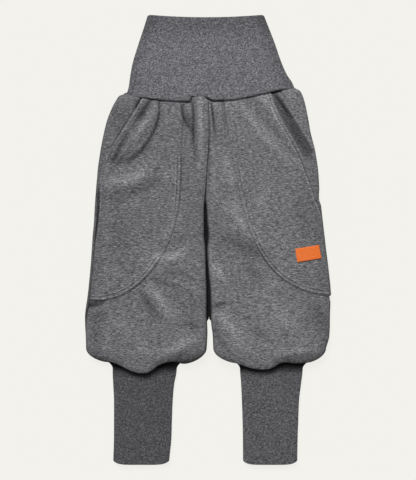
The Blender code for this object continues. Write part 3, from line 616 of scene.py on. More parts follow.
LEFT_HIP_FOLDS = (
    Fold(86.4, 187.6, 102.2, 151.3, 128.0, 111.3, 5.8, 9.0, -5.6, 0.00, 0.8, 1.0, 4.0),
    Fold(89.6, 186.3, 109.8, 151.0, 135.6, 110.7, 1.2, 1.2, 2.4, -0.70, 0.9, 0.8),
    Fold(86.4, 186.3, 102.2, 151.6, 128.0, 112.0, 5.6, 12.0, 0.0, 0.52, 0.9, 1.0, 8.0),
    Fold(85.2, 183.8, 98.6, 163.6, 106.0, 153.5, 2.0, 2.2, 0.0, 0.44, 0.9, 0.4),
    Fold(100.3, 153.5, 109.1, 136.5, 123.0, 117.0, 3.6, 3.6, 0.0, 0.16, 0.4, 0.4),
)
BACK_FOLDS = (
    Fold(30.0, 165.0, 44.0, 120.0, 62.0, 78.0, 6.0, 6.0, -0.7, 0.00, 0.4, 0.0),
    Fold(70.0, 168.0, 84.0, 130.0, 100.0, 96.0, 7.0, 7.0, -0.6, 0.00, 0.4, 0.0),
    Fold(24.0, -30.0, 52.0, -52.0, 92.0, -60.0, 6.0, 6.0, -0.8, 0.00, 0.0, 0.0),
    Fold(60.0, -96.0, 84.0, -118.0, 112.0, -134.0, 6.0, 6.0, -0.7, 0.00, 0.0, 0.0),
)
BAND_FOLDS = (
    Fold(-78.0, 250.0, -40.0, 236.0, -4.0, 244.0, 12.0, 12.0, -0.5, 0.00, 0.0, 0.0),
    Fold(-20.0, 214.0, 12.0, 226.0, 46.0, 214.0, 14.0, 14.0, 0.5, 0.00, 0.0, 0.0),
    Fold(28.0, 268.0, 44.0, 244.0, 70.0, 226.0, 9.0, 9.0, -0.5, 0.00, 0.0, 0.0),
    Fold(-86.0, 214.0, -60.0, 206.0, -30.0, 192.0, 8.0, 8.0, 0.4, 0.00, 0.0, 0.0),
)


def waist_seam(x: Array, z: Array) -> Array:
    """Height of the waist seam, which sags and rises over a ridge in front, not behind.

    Args:
        x: x of the points.
        z: z of the points, which tells the front from the back.

    Returns:
        The seam's height at each point.
    """
    front = WAIST_SAG_Y + WAIST_SAG * x * x + WAIST_TILT * x
    front = front + OVERLAP_RISE * ease(*OVERLAP_START, x) * (1 - ease(*OVERLAP_END, x))
    front = front - strength_at(WAIST_DIP, x)
    right, left = BODY[0].right, BODY[0].left
    low = WAIST_SAG_Y + WAIST_SAG * right**2 + WAIST_TILT * right
    high = WAIST_SAG_Y + WAIST_SAG * left**2 + WAIST_TILT * left
    behind = low + (high - low) * (x - right) / (left - right)
    return np.where(z > SIDE_Z, front, behind)


def turned_shade(up: Array) -> Array:
    """Painted shade where cloth turns to its sides, from how far up or down it faces."""
    return TURNED_SHADE * (1 - ease(*TURNED, np.abs(up)))


def waist_gap(x: Array) -> Array:
    """Gap at the waist seam, which is shut where a ridge covers it."""
    return SEAM_GAP * ((1 + WAIST_OVERLAP) * strength_at(WAIST_DEPTH, x) - WAIST_OVERLAP)


def arch(
    start: tuple[float, float], end: tuple[float, float], crown: float, powers: tuple[float, float]
) -> Array:
    """Points (x, z) of a face that rises from its start to a crown and falls to its end.

    Args:
        start: x and z of the start.
        end: x and z of the end.
        crown: Height in the middle.
        powers: How square the face is at its start and at its end.

    Returns:
        The points, from start to end.
    """
    quarter = np.linspace(0, np.pi / 2, ARCH_STEPS)
    middle = (start[0] + end[0]) / 2
    halves = []
    for (x, z), power in zip((start, end), powers):
        across = middle + (x - middle) * np.cos(quarter) ** (2 / power)
        up = z + (crown - z) * np.sin(quarter) ** (2 / power)
        halves.append(np.column_stack([across, up]))
    return np.vstack([halves[0][:-1], halves[1][::-1]])


def turn_up(x: float, z: float, reach: float) -> Array:
    """Points (x, z) of a rounded edge, from the surface at x + reach up to (x, z)."""
    quarter = np.linspace(0, np.pi / 2, TURN_STEPS)
    return np.column_stack([x + reach * (1 - np.sin(quarter)), z * (1 - np.cos(quarter))])


def spread(line: Array, count: int, start: float = 0.0, stop: float = 0.0) -> tuple[Array, Array]:
    """Evenly spread points of a line, closer where it bends.

    Args:
        line: Points of the line.
        count: How many points are wanted.
        start: Length left off at the line's start.
        stop: Length left off at its end.

    Returns:
        The points, and the line's direction at each.
    """
    steps = np.diff(line, axis=0)
    lengths = np.hypot(steps[:, 0], steps[:, 1])
    headings = steps / np.maximum(lengths, 1e-9)[:, None]
    turns = np.arccos(np.clip((headings[1:] * headings[:-1]).sum(axis=1), -1, 1))
    along = np.concatenate([[0], np.cumsum(lengths)])
    bends = np.concatenate([[0, 0], np.cumsum(turns)])
    measure = along + TURN_WEIGHT * bends
    first = np.interp(start, along, measure)
    last = np.interp(along[-1] - stop, along, measure)
    wanted = np.linspace(first, last, count)
    points = np.column_stack([np.interp(wanted, measure, line[:, i]) for i in range(2)])
    middles = (along[1:] + along[:-1]) / 2
    places = np.interp(wanted, measure, along)
    directions = np.column_stack([np.interp(places, middles, headings[:, i]) for i in range(2)])
    return points, directions / np.linalg.norm(directions, axis=1)[:, None]


def below_crotch(y: float) -> float:
    """0 above the crotch, where both legs share the middle seam, and 1 below it."""
    return ease(0, CROTCH_FADE, CROTCH_Y - y)


class ClothSurface(NamedTuple):
    """Grid of points of a panel's outer face, with the way out of the cloth at each."""

    points: Grid
    normals: Grid

    def raised(self, rise: Array) -> ClothSurface:
        """The surface moved out by a rise at each of its points."""
        return ClothSurface(self.points + self.normals * rise[..., None], self.normals)

    def flat(self) -> tuple[Array, Array]:
        """x and y of every point."""
        return self.points[..., 0].ravel(), self.points[..., 1].ravel()

    def pressed(self, folds: Sequence[Fold], gathers: int = 0) -> ClothSurface:
        """The surface with folds pressed in where the cloth faces up.

        Args:
            folds: The folds.
            gathers: Last rows that the folds fade out over.

        Returns:
            The folded surface.
        """
        shape = self.points.shape[:2]
        rise = np.zeros(shape)
        for fold in folds:
            if fold.rise:
                rise = rise + fold.rise * fold.share(*self.flat()).reshape(shape)
        rise = rise * np.clip(self.normals[:, :, 2], 0, 1) ** 2
        rise = np.maximum(rise, np.minimum(LOWEST_FACE - self.points[:, :, 2], 0))
        if gathers:
            rise[-gathers:] *= (1 - ease(0, GATHER_FADE, np.linspace(0, 1, gathers)))[:, None]
        return self.raised(rise)


@dataclass(frozen=True)
class LegForm:
    """How one leg lies: its outline, its sections and how it gathers into its cuff."""

    side: Side
    seam_rise: float
    front_columns: int = 140
    turn_columns: int = 18
    flat_columns: int = 36
    puff_rows: int = 40

    def heights(self) -> Array:
        """Heights of the rows from the waist seam to the gathers."""
        return np.concatenate([np.linspace(*rows) for rows in LEG_ROWS])

    def pocket_step(self, y: float) -> float:
        """How far the pocket stands out past the left side, so that the outline holds it.

        Args:
            y: Height.

        Returns:
            The distance, 0 on the right leg.
        """
        if self.side is Side.RIGHT:
            return 0.0
        step = POCKET_CLOTH + SEAM_GAP
        return step * (1 - ease(*MOUTH_FOOT, y)) * ease(*POCKET_FOOT, y)

    def edges(self, y: float) -> tuple[float, float, float]:
        """x of the leg's side, of its inner face and of the middle seam, at a height.

        Args:
            y: Height.

        Returns:
            All three.
        """
        side = smooth(BODY, self.side.word, y) - self.pocket_step(y)
        centre = smooth(BODY, "centre", y)
        slit = smooth(BODY, "slit", y)
        inner = centre + self.side.value * max(slit / 2, SEAM_GAP / 2 + SLIT_LEAST)
        return side, inner, centre + self.side.value * SEAM_GAP / 2

    def front_outline(self, y: float) -> Array:
        """Outer face of the front at a height, from its side over to its inner edge.

        Args:
            y: Height.

        Returns:
            Points (x, z) of the face.
        """
        side, inner, _ = self.edges(y)
        crown = smooth(BODY, "crown", y)
        dip = smooth(BODY, "dip", y)
        return arch((side, SIDE_Z), (inner, dip), crown, (SIDE_POWER, INNER_POWER))

    def rise_at(self, y: float) -> float:
        """Length along the section from the side up to the side seam."""
        return self.seam_rise * (1 - ease(*RISE_TOP, y)) * ease(*RISE_FOOT, y)

    def side_seam(self, y: float) -> tuple[Array, Array]:
        """Points up the section to the side seam, and its direction at the seam.

        Args:
            y: Height.

        Returns:
            The points (x, z) and the direction.
        """
        outline = self.front_outline(y)
        lengths = np.concatenate([[0], np.cumsum(np.hypot(*np.diff(outline, axis=0).T))])
        rise = self.rise_at(y)
        places = np.linspace(0, max(rise - SEAM_GAP / 2, 0), SIDE_STEPS)
        way_up = np.column_stack([np.interp(places, lengths, outline[:, i]) for i in range(2)])
        reach = min(SEAM_REACH, rise)
        ends = np.interp([rise - reach, rise + reach], lengths, outline[:, 0])
        tops = np.interp([rise - reach, rise + reach], lengths, outline[:, 1])
        heading = np.array([ends[1] - ends[0], tops[1] - tops[0]])
        if reach < SEAM_GAP:
            heading = np.array([0.0, 1.0])
        return way_up, heading / np.linalg.norm(heading)

    def front_row(self, y: float) -> tuple[Array, Array]:
        """Points and directions of a front's row, with a short foot at its inner edge.

        Args:
            y: Height.

        Returns:
            The points (x, z), and the direction at each.
        """
        start = self.rise_at(y) + SEAM_GAP / 2
        points, headings = spread(self.front_outline(y), self.front_columns, start)
        _, inner, end = self.edges(y)
        below = below_crotch(y)
        foot = (end + (inner - end) * below, smooth(BODY, "dip", y) - FOOT * below)
        points = np.vstack([points, foot])
        inward = np.array([-self.side.value * (1 - below), -below])
        headings = np.vstack([headings, inward / np.linalg.norm(inward)])
        both = headings[-3] + headings[-1]
        headings[-2] = both / np.linalg.norm(both)
        headings[0] = self.side_seam(y)[1]
        return points, headings

    def back_row(self, y: float) -> tuple[Array, Array]:
        """Points and directions of a back's row, from its side under to its inner edge.

        Args:
            y: Height.

        Returns:
            The points (x, z), and the direction at each.
        """
        side, inner, end = self.edges(y)
        sign = self.side.value
        way_up, heading = self.side_seam(y)
        turn = turn_up(side, SIDE_Z, -sign * SIDE_TURN)[::-1]
        below_seam = max(SEAM_GAP / 2 - self.rise_at(y), 0)
        line = turn if below_seam > 0 else np.vstack([way_up[:0:-1], turn])
        outer, outer_headings = spread(line, self.turn_columns, below_seam)
        outer_headings[0] = -heading
        below = below_crotch(y)
        dip = smooth(BODY, "dip", y) - FOOT - SEAM_GAP
        foot_x = end + (inner - end) * below
        inner_turn = turn_up(foot_x, max(dip * below, 0.0), sign * INNER_TURN)
        inner_points, inner_headings = spread(inner_turn, self.turn_columns)
        upward = np.array([-sign * (1 - below), below])
        inner_headings[-1] = upward / np.linalg.norm(upward)
        share = np.linspace(0, 1, self.flat_columns + 1)[1:-1, None]
        flat = outer[-1] + (inner_points[0] - outer[-1]) * share
        across = np.tile([-sign, 0.0], (len(flat), 1))
        points = np.vstack([outer, flat, inner_points])
        return points, np.vstack([outer_headings, across, inner_headings])

    def cuff_sides(self, y: float) -> tuple[float, float]:
        """x of the cuff's outer and inner side at a height."""
        word = self.side.word
        return smooth(CUFFS, word + "_outer", y), smooth(CUFFS, word + "_inner", y)

    def cuff_line(self, is_front: bool) -> Array:
        """Face of the cuff at its seam, from its outer side to its inner side.

        Args:
            is_front: Whether its upper face is wanted.

        Returns:
            Points (x, z) of the face.
        """
        outer, inner = self.cuff_sides(CUFF_Y)
        if is_front:
            return arch((outer, SIDE_Z), (inner, SIDE_Z), CUFF_CROWN, (TUBE_POWER, TUBE_POWER))
        start = turn_up(outer, SIDE_Z, -self.side.value * TUBE_TURN)[::-1]
        return np.vstack([start, turn_up(inner, SIDE_Z, self.side.value * TUBE_TURN)])

    def gathers(self, last: Array, across: Array, is_front: bool) -> tuple[list, list]:
        """Rows that take a panel from its last full row round and in to the cuff's seam.

        Args:
            last: Points of the last full row.
            across: Directions along that row.
            is_front: Whether the panel is a front, which turns back fully.

        Returns:
            The rows and their directions.
        """
        count = len(last)
        share = np.linspace(0, 1, count)
        points, headings = spread(self.cuff_line(is_front), count, SEAM_GAP / 2, SEAM_GAP / 2)
        end_across = np.column_stack([headings[:, 0], np.zeros(count), headings[:, 1]])
        facing = self.side.value if is_front else -self.side.value
        normal = np.column_stack([headings[:, 1], np.zeros(count), -headings[:, 0]]) * facing
        word = self.side.word
        if is_front:
            lift = np.ones(count)
            hang = np.array([smooth(PUFF, word, part) for part in share])
        else:
            lift = np.clip(points[:, 1] / SIDE_Z, 0, 1)
            at_side = np.where(share < 0.5, getattr(PUFF[0], word), getattr(PUFF[-1], word))
            hang = FLAT_HANG + (at_side - FLAT_HANG) * lift
        turn = np.radians(FLAT_TURN + (SIDE_HANG_TURN - FLAT_TURN) * lift)
        beyond = SEAM_GAP * (1 - lift**3)
        seat = np.column_stack([points[:, 0], CUFF_Y + beyond, points[:, 1]])
        seat = seat + (SEAM_GAP * (np.sqrt(lift) + 4 * lift * (1 - lift)))[:, None] * normal
        up = np.array([0.0, 1.0, 0.0])
        drop = FLAT_DROP + (HANG_DROP - FLAT_DROP + HANG_SHARE * hang) * lift
        first = last - up * drop[:, None]
        second = seat + normal * (hang * np.cos(turn) * HANG_FULLNESS)[:, None]
        second = second - up * (hang * np.sin(turn))[:, None]
        rows, directions = [], []
        for t in np.linspace(0, 1, self.puff_rows + 1)[1:]:
            weights = ((1 - t) ** 3, 3 * t * (1 - t) ** 2, 3 * t * t * (1 - t), t**3)
            rows.append(sum(w * row for w, row in zip(weights, (last, first, second, seat))))
            blend = (1 - t) * across + t * end_across
            directions.append(blend / np.linalg.norm(blend, axis=1)[:, None])
        return rows, directions

    def face(self, is_front: bool) -> ClothSurface:
        """Outer face of the whole front or back.

        Args:
            is_front: Whether the front is wanted.

        Returns:
            The surface, from the waist seam to the cuff's seam.
        """
        rows, directions = [], []
        for y in self.heights():
            points, headings = self.front_row(y) if is_front else self.back_row(y)
            x, z = points[:, 0], points[:, 1]
            tied = ease(FREE_Y, WAIST_Y, y)
            height = y + (waist_seam(x, z) - waist_gap(x) / 2 - WAIST_Y) * tied
            rows.append(np.column_stack([x, height, z]))
            directions.append(np.column_stack([headings[:, 0], np.zeros(len(x)), headings[:, 1]]))
        more, more_directions = self.gathers(rows[-1], directions[-1], is_front)
        grid = np.array(rows + more)
        down = np.gradient(grid, axis=0)
        facing = -self.side.value if is_front else self.side.value
        normals = np.cross(down, np.array(directions + more_directions)) * facing
        normals[0, :, 1] = 0.0
        return ClothSurface(grid, normals / np.linalg.norm(normals, axis=2)[:, :, None])

    def seam_ways(self, points: Grid) -> tuple[Array, Array]:
        """Lengths over the cloth from the side seam and from the waist seam to each point.

        Args:
            points: Points of a panel's face.

        Returns:
            Both lengths at each point.
        """
        side_way = np.linalg.norm(np.diff(points, axis=1), axis=2)
        down_way = np.linalg.norm(np.diff(points, axis=0), axis=2)
        from_side = np.concatenate([np.zeros((len(points), 1)), np.cumsum(side_way, 1)], 1)
        from_waist = np.concatenate([np.zeros((1, points.shape[1])), np.cumsum(down_way, 0)], 0)
        return from_side, from_waist

    def seam_roll(self, points: Grid) -> Array:
        """How far the cloth dips as it rolls into the waist seam and the side seam.

        Args:
            points: Points of a panel's face.

        Returns:
            The rise at each point, under 0 where it dips.
        """
        from_side, from_waist = self.seam_ways(points)
        at_side = EDGE_ROLL * np.exp(-((from_side / EDGE_ROLL_WIDTH) ** 2))
        at_waist = WAIST_ROLL * np.exp(-((from_waist / WAIST_ROLL_WIDTH) ** 2))
        at_waist = at_waist * strength_at(WAIST_DEPTH, points[:, :, 0])
        return -np.maximum(at_side, at_waist)

    def seam_shade(self, points: Grid) -> Array:
        """Painted shade of the cloth at its seams and deep between the legs.

        Args:
            points: Points of a panel's face.

        Returns:
            The shade at each point.
        """
        from_side, from_waist = self.seam_ways(points)
        x, y, z = points[:, :, 0], points[:, :, 1], points[:, :, 2]
        waist = strength_at(WAIST_SHADE, x) * np.exp(-((from_waist / SHADE_WIDTH) ** 2))
        raised = np.array([self.rise_at(height) for height in y[:, 0]])[:, None]
        side = SIDE_SEAM_SHADE * np.minimum(raised / FULL_RISE, SIDE_SHADE_LIMIT)
        side = side * np.exp(-((from_side / SHADE_WIDTH) ** 2))
        middle = np.array([smooth(BODY, "centre", height) for height in y[:, 0]])[:, None]
        near = (np.abs(x - middle) < SLIT_REACH) * ease(*SLIT_TOP, y) * (y > CROTCH_Y - SLIT_PAST)
        slit = SLIT_SHADE * near * (1 - ease(*SLIT_DEPTH, z))
        return np.maximum.reduce([waist, side, slit])

    def puff_edge(self) -> tuple[Array, Array]:
        """x and y of the lowest points of the front's gathered cloth, in order of x.

        Returns:
            All x and all y.
        """
        rows = self.face(True).points[-self.puff_rows:]
        lowest = rows[np.argmin(rows[:, :, 1], axis=0), np.arange(rows.shape[1])]
        order = np.argsort(lowest[:, 0])
        return lowest[order, 0], lowest[order, 1]


def add_object(name: str, data: bpy.types.ID) -> bpy.types.Object:
    """New object of the scene.

    Args:
        name: Name of the object.
        data: Its mesh, lamp or camera.

    Returns:
        The object.
    """
    made = bpy.data.objects.new(name, data)
    bpy.context.scene.collection.objects.link(made)
    return made


def make_piece(
    name: str, points: Array, faces: Sequence, attributes: dict[str, Array] | None = None
) -> bpy.types.Object:
    """New object from points in millimetres, with its faces turned outwards.

    Args:
        name: Name of the piece.
        points: Points, in millimetres.
        faces: Corners of each face.
        attributes: Numbers at each point that its finish reads.

    Returns:
        The object.
    """
    mesh = bpy.data.meshes.new(name)
    mesh.from_pydata((np.asarray(points) * MM).tolist(), [], [list(f) for f in faces])
    shape = bmesh.new()
    shape.from_mesh(mesh)
    bmesh.ops.recalc_face_normals(shape, faces=shape.faces)
    shape.to_mesh(mesh)
    shape.free()
    for label, values in (attributes or {}).items():
        made = mesh.attributes.new(label, "FLOAT", "POINT")
        made.data.foreach_set("value", np.asarray(values, dtype=np.float32))
    mesh.shade_smooth()
    mesh.set_sharp_from_angle(angle=SHARP_ANGLE)
    return add_object(name, mesh)


def clip_grid(field: Array) -> tuple[list[tuple[int, int, float]], list[list[int]]]:
    """Cells of a grid where a field is over 0, cut along the line where it is 0.

    Args:
        field: The field at each point of the grid.

    Returns:
        The corners, each as two points of the grid and the share of the second, and faces.
    """
    rows, columns = field.shape
    values = field.ravel()
    corners: list[tuple[int, int, float]] = []
    places: dict[tuple[int, int], int] = {}

    def corner(a: int, b: int) -> int:
        """Number of the corner between two points of the grid, made once.

        Args:
            a: First point.
            b: Second point, or the first again.

        Returns:
            The number.
        """
        key = (min(a, b), max(a, b))
        if key not in places:
            low, high = key
            share = 0.0
            if low != high:
                share = float(np.clip(values[low] / (values[low] - values[high]), *CUT_SHARE))
            places[key] = len(corners)
            corners.append((low, high, share))
        return places[key]

    inside = field > 0
    counts = inside[:-1, :-1].astype(int) + inside[1:, :-1] + inside[:-1, 1:] + inside[1:, 1:]
    faces = []
    for i, j in zip(*np.nonzero(counts)):
        a = int(i * columns + j)
        loop = (a, a + 1, a + columns + 1, a + columns)
        face = []
        for here, there in zip(loop, loop[1:] + loop[:1]):
            if values[here] > 0:
                face.append(corner(here, here))
            if (values[here] > 0) != (values[there] > 0):
                face.append(corner(here, there))
        if len(face) > 2:
            faces.append(face)
    return corners, faces


def wall_piece(
    name: str, outer: Grid, inner: Grid, field: Array | None = None,
    attributes: dict[str, Array] | None = None,
) -> bpy.types.Object:
    """Closed wall of cloth between two grids of points, cut to where a field is over 0.

    Args:
        name: Name of the piece.
        outer: Points of the outer face.
        inner: Points of the inner face.
        field: Where the piece is, over 0, or None for the whole grid.
        attributes: Numbers at each point of the grid that its finish reads.

    Returns:
        The piece.
    """
    if field is None:
        field = np.ones(outer.shape[:2])
    corners, faces = clip_grid(field)
    low = np.array([c[0] for c in corners])
    high = np.array([c[1] for c in corners])
    share = np.array([c[2] for c in corners])

    def at_corners(values: Array) -> Array:
        """Values of the grid at the corners of the cut piece."""
        flat = values.reshape(-1, values.shape[-1])
        return flat[low] * (1 - share)[:, None] + flat[high] * share[:, None]

    count = len(corners)
    points = np.vstack([at_corners(outer), at_corners(inner)])
    used: dict[tuple[int, int], int] = {}
    for face in faces:
        for a, b in zip(face, face[1:] + face[:1]):
            used[(a, b)] = used.get((a, b), 0) + 1
    rim = [(b, a, a + count, b + count) for (a, b) in used if (b, a) not in used]
    back = [[k + count for k in reversed(face)] for face in faces]
    numbers = {
        label: np.tile(at_corners(values[..., None])[:, 0], 2)
        for label, values in (attributes or {}).items()
    }
    return make_piece(name, points, faces + back + rim, numbers)


@dataclass(frozen=True)
class PocketCut:
    """Pattern lines of a pocket, as Bezier curves from the waist down.

    How strongly its rows of stitching show goes by the height that they are at.
    """

    mouth: tuple[tuple[float, float], ...]
    pouch: tuple[tuple[float, float], ...]
    sign: int
    mouth_rows: tuple[Step, ...]
    pouch_rows: tuple[Step, ...]

    def line(self, curve: Sequence[tuple[float, float]]) -> Array:
        """Points of a pattern line, run out past the waist and past the side.

        Args:
            curve: Control points of the line.

        Returns:
            The points, in order.
        """
        points = bezier(curve, np.linspace(0, 1, LINE_STEPS))
        start = points[0] + (points[0] - points[1]) * LINE_RUN_OUT
        end = points[-1] + (points[-1] - points[-2]) * LINE_RUN_OUT
        return np.vstack([start, points, end])

    def distances(self, surface: ClothSurface) -> tuple[Array, Array]:
        """Distance inside the mouth and inside the curved seam, at each point of a surface.

        Args:
            surface: Outer face of the front.

        Returns:
            Both distances, over 0 inside.
        """
        shape = surface.points.shape[:2]
        x, y = surface.flat()
        mouth = line_distance(self.line(self.mouth), x, y)[0] * -self.sign
        pouch = line_distance(self.line(self.pouch), x, y)[0] * self.sign
        return mouth.reshape(shape), pouch.reshape(shape)


RIGHT_POCKET = PocketCut(
    ((-83.3, 177.5), (-114.3, 118.1), (-128.7, 125.4), (-143.5, 42.6)),
    ((-28.2, 174.9), (-44.9, 61.9), (-8.2, 51.3), (-63.3, -90.6), (-149.5, -76.0)),
    -1,
    (Step(180.0, 0.3), Step(60.0, 0.2)),
    (Step(110.0, 0.15), Step(98.0, 0.9), Step(56.0, 0.9), Step(44.0, 0.2), Step(-16.0, 0.12),
     Step(-28.0, 0.85), Step(-90.0, 0.95)),
)
LEFT_POCKET = PocketCut(
    ((78.8, 185.9), (98.9, 124.3), (102.4, 153.9), (133.3, 66.6)),
    ((16.4, 186.4), (42.8, 60.0), (39.0, -62.4), (153.8, -70.6)),
    1,
    (Step(170.0, 0.7), Step(140.0, 1.0), Step(60.0, 1.0)),
    (Step(94.0, 0.15), Step(80.0, 0.35), Step(12.0, 0.4), Step(-8.0, 0.9), Step(-90.0, 0.95)),
)


class NodeKit:
    """Short calls that build a node tree."""

    def __init__(self, tree: bpy.types.NodeTree) -> None:
        """Keep the tree that the calls build."""
        self.tree = tree

    def add(self, kind: str, inputs: dict | None = None, **settings: object) -> bpy.types.Node:
        """New node, with its settings and with its inputs linked or set.

        Args:
            kind: Blender's name of the node.
            inputs: Value or output for each input, by name or place.
            **settings: Properties of the node.

        Returns:
            The node.
        """
        node = self.tree.nodes.new(kind)
        for label, value in settings.items():
            setattr(node, label, value)
        for label, value in (inputs or {}).items():
            if isinstance(value, bpy.types.NodeSocket):
                self.tree.links.new(value, node.inputs[label])
            else:
                node.inputs[label].default_value = value
        return node

    def maths(self, operation: str, *values: object) -> bpy.types.NodeSocket:
        """Result of a Math node."""
        inputs = dict(enumerate(values))
        return self.add("ShaderNodeMath", inputs, operation=operation).outputs[0]

    def vectors(self, operation: str, *values: object) -> bpy.types.NodeSocket:
        """Result of a Vector Math node."""
        inputs = dict(enumerate(values))
        return self.add("ShaderNodeVectorMath", inputs, operation=operation).outputs[0]

    def group(self, name: str, inputs: dict) -> bpy.types.Node:
        """Node of a shared group."""
        return self.add("ShaderNodeGroup", inputs, node_tree=shader_group(name))


def group_tree(name: str, inputs: Sequence[tuple], outputs: Sequence[tuple]) -> NodeKit:
    """New shader node group, with its sockets and its input and output nodes.

    Args:
        name: Name of the group.
        inputs: Name, kind and default of each input.
        outputs: Name and kind of each output.
    """
    tree = bpy.data.node_groups.new(name, "ShaderNodeTree")
    for label, kind, default in inputs:
        socket = tree.interface.new_socket(label, in_out="INPUT", socket_type=kind)
        if default is not None:
            socket.default_value = default
    for label, kind in outputs:
        tree.interface.new_socket(label, in_out="OUTPUT", socket_type=kind)
    return NodeKit(tree)


class YarnNoise(NamedTuple):
    """One size of fleck in the yarn, and its share of the whole."""

    scale: float
    detail: float
    roughness: float
    share: float


YARN_NOISES = (YarnNoise(1.0, 3.0, 0.75, 0.65), YarnNoise(2.7, 1.0, 0.5, 0.35))


def melange_group() -> bpy.types.NodeTree:
    """Flecks of light and dark yarn, drawn out along one direction.

    Returns:
        The node group.
    """
    kit = group_tree(
        "melange_yarn",
        (
            ("Fleck Size", "NodeSocketVector", (1.0, 1.0, 1.0)),
            ("Twist", "NodeSocketFloat", 0.0),
            ("Contrast", "NodeSocketFloat", 1.0),
            ("Dark", "NodeSocketColor", (0, 0, 0, 1)),
            ("Light", "NodeSocketColor", (1, 1, 1, 1)),
        ),
        (("Color", "NodeSocketColor"), ("Height", "NodeSocketFloat")),
    )
    source = kit.add("NodeGroupInput")
    place = kit.add("ShaderNodeTexCoord").outputs["Object"]
    scaled = kit.vectors("MULTIPLY", place, source.outputs["Fleck Size"])
    layers = []
    for noise in YARN_NOISES:
        made = kit.add(
            "ShaderNodeTexNoise",
            {"Vector": scaled, "Scale": noise.scale, "Detail": noise.detail,
             "Roughness": noise.roughness, "Distortion": source.outputs["Twist"]},
        )
        layers.append(kit.maths("MULTIPLY", made.outputs["Fac"], noise.share))
    centred = kit.maths("SUBTRACT", kit.maths("ADD", *layers), 0.5)
    spread_out = kit.maths("MULTIPLY", centred, source.outputs["Contrast"])
    even = kit.add("ShaderNodeClamp", {"Value": kit.maths("ADD", spread_out, 0.5)}).outputs[0]
    share = kit.maths("POWER", even, RARER_LIGHT)
    mixed = kit.add("ShaderNodeMix", {"Factor": share}, data_type="RGBA")
    for label, wanted in (("A", "Dark"), ("B", "Light")):
        socket = next(s for s in mixed.inputs if s.name == label and s.type == "RGBA")
        kit.tree.links.new(source.outputs[wanted], socket)
    colour = next(s for s in mixed.outputs if s.type == "RGBA")
    kit.add("NodeGroupOutput", {"Color": colour, "Height": share})
    return kit.tree


def groove_group() -> bpy.types.NodeTree:
    """A row of stitching pressed into cloth, at a distance from an edge.

    Returns:
        The node group.
    """
    kit = group_tree(
        "stitch_groove",
        (
            ("Distance", "NodeSocketFloat", 0.0),
            ("Row", "NodeSocketFloat", 1.0),
            ("Width", "NodeSocketFloat", 1.0),
        ),
        (("Depth", "NodeSocketFloat"),),
    )
    source = kit.add("NodeGroupInput")
    away = kit.maths("SUBTRACT", source.outputs["Distance"], source.outputs["Row"])
    share = kit.maths("DIVIDE", away, source.outputs["Width"])
    squared = kit.maths("MULTIPLY", share, share)
    depth = kit.maths("EXPONENT", kit.maths("MULTIPLY", squared, -1.0))
    kit.add("NodeGroupOutput", {"Depth": depth})
    return kit.tree


def shader_group(name: str) -> bpy.types.NodeTree:
    """A shared node group, built once."""
    makers = {"melange_yarn": melange_group, "stitch_groove": groove_group}
    return bpy.data.node_groups.get(name) or makers[name]()


def new_surface(name: str, settings: dict[str, object]) -> tuple[bpy.types.Material, NodeKit]:
    """New material, with values set on its shader's own sockets.

    Args:
        name: Name of the material.
        settings: Value of each socket.
    """
    made = bpy.data.materials.new(name)
    made.use_nodes = True
    for label, value in settings.items():
        made.node_tree.nodes["Principled BSDF"].inputs[label].default_value = value
    return made, NodeKit(made.node_tree)


def cover(kit: NodeKit, colour: bpy.types.NodeSocket, height: bpy.types.NodeSocket) -> None:
    """Give a material its colour and its relief.

    Args:
        kit: Kit of the material.
        colour: Colour of the surface.
        height: Its relief, in millimetres.
    """
    surface = kit.tree.nodes["Principled BSDF"]
    bump = kit.add("ShaderNodeBump", {"Height": height, "Strength": 1.0, "Distance": MM})
    kit.tree.links.new(colour, surface.inputs["Base Color"])
    kit.tree.links.new(bump.outputs["Normal"], surface.inputs["Normal"])


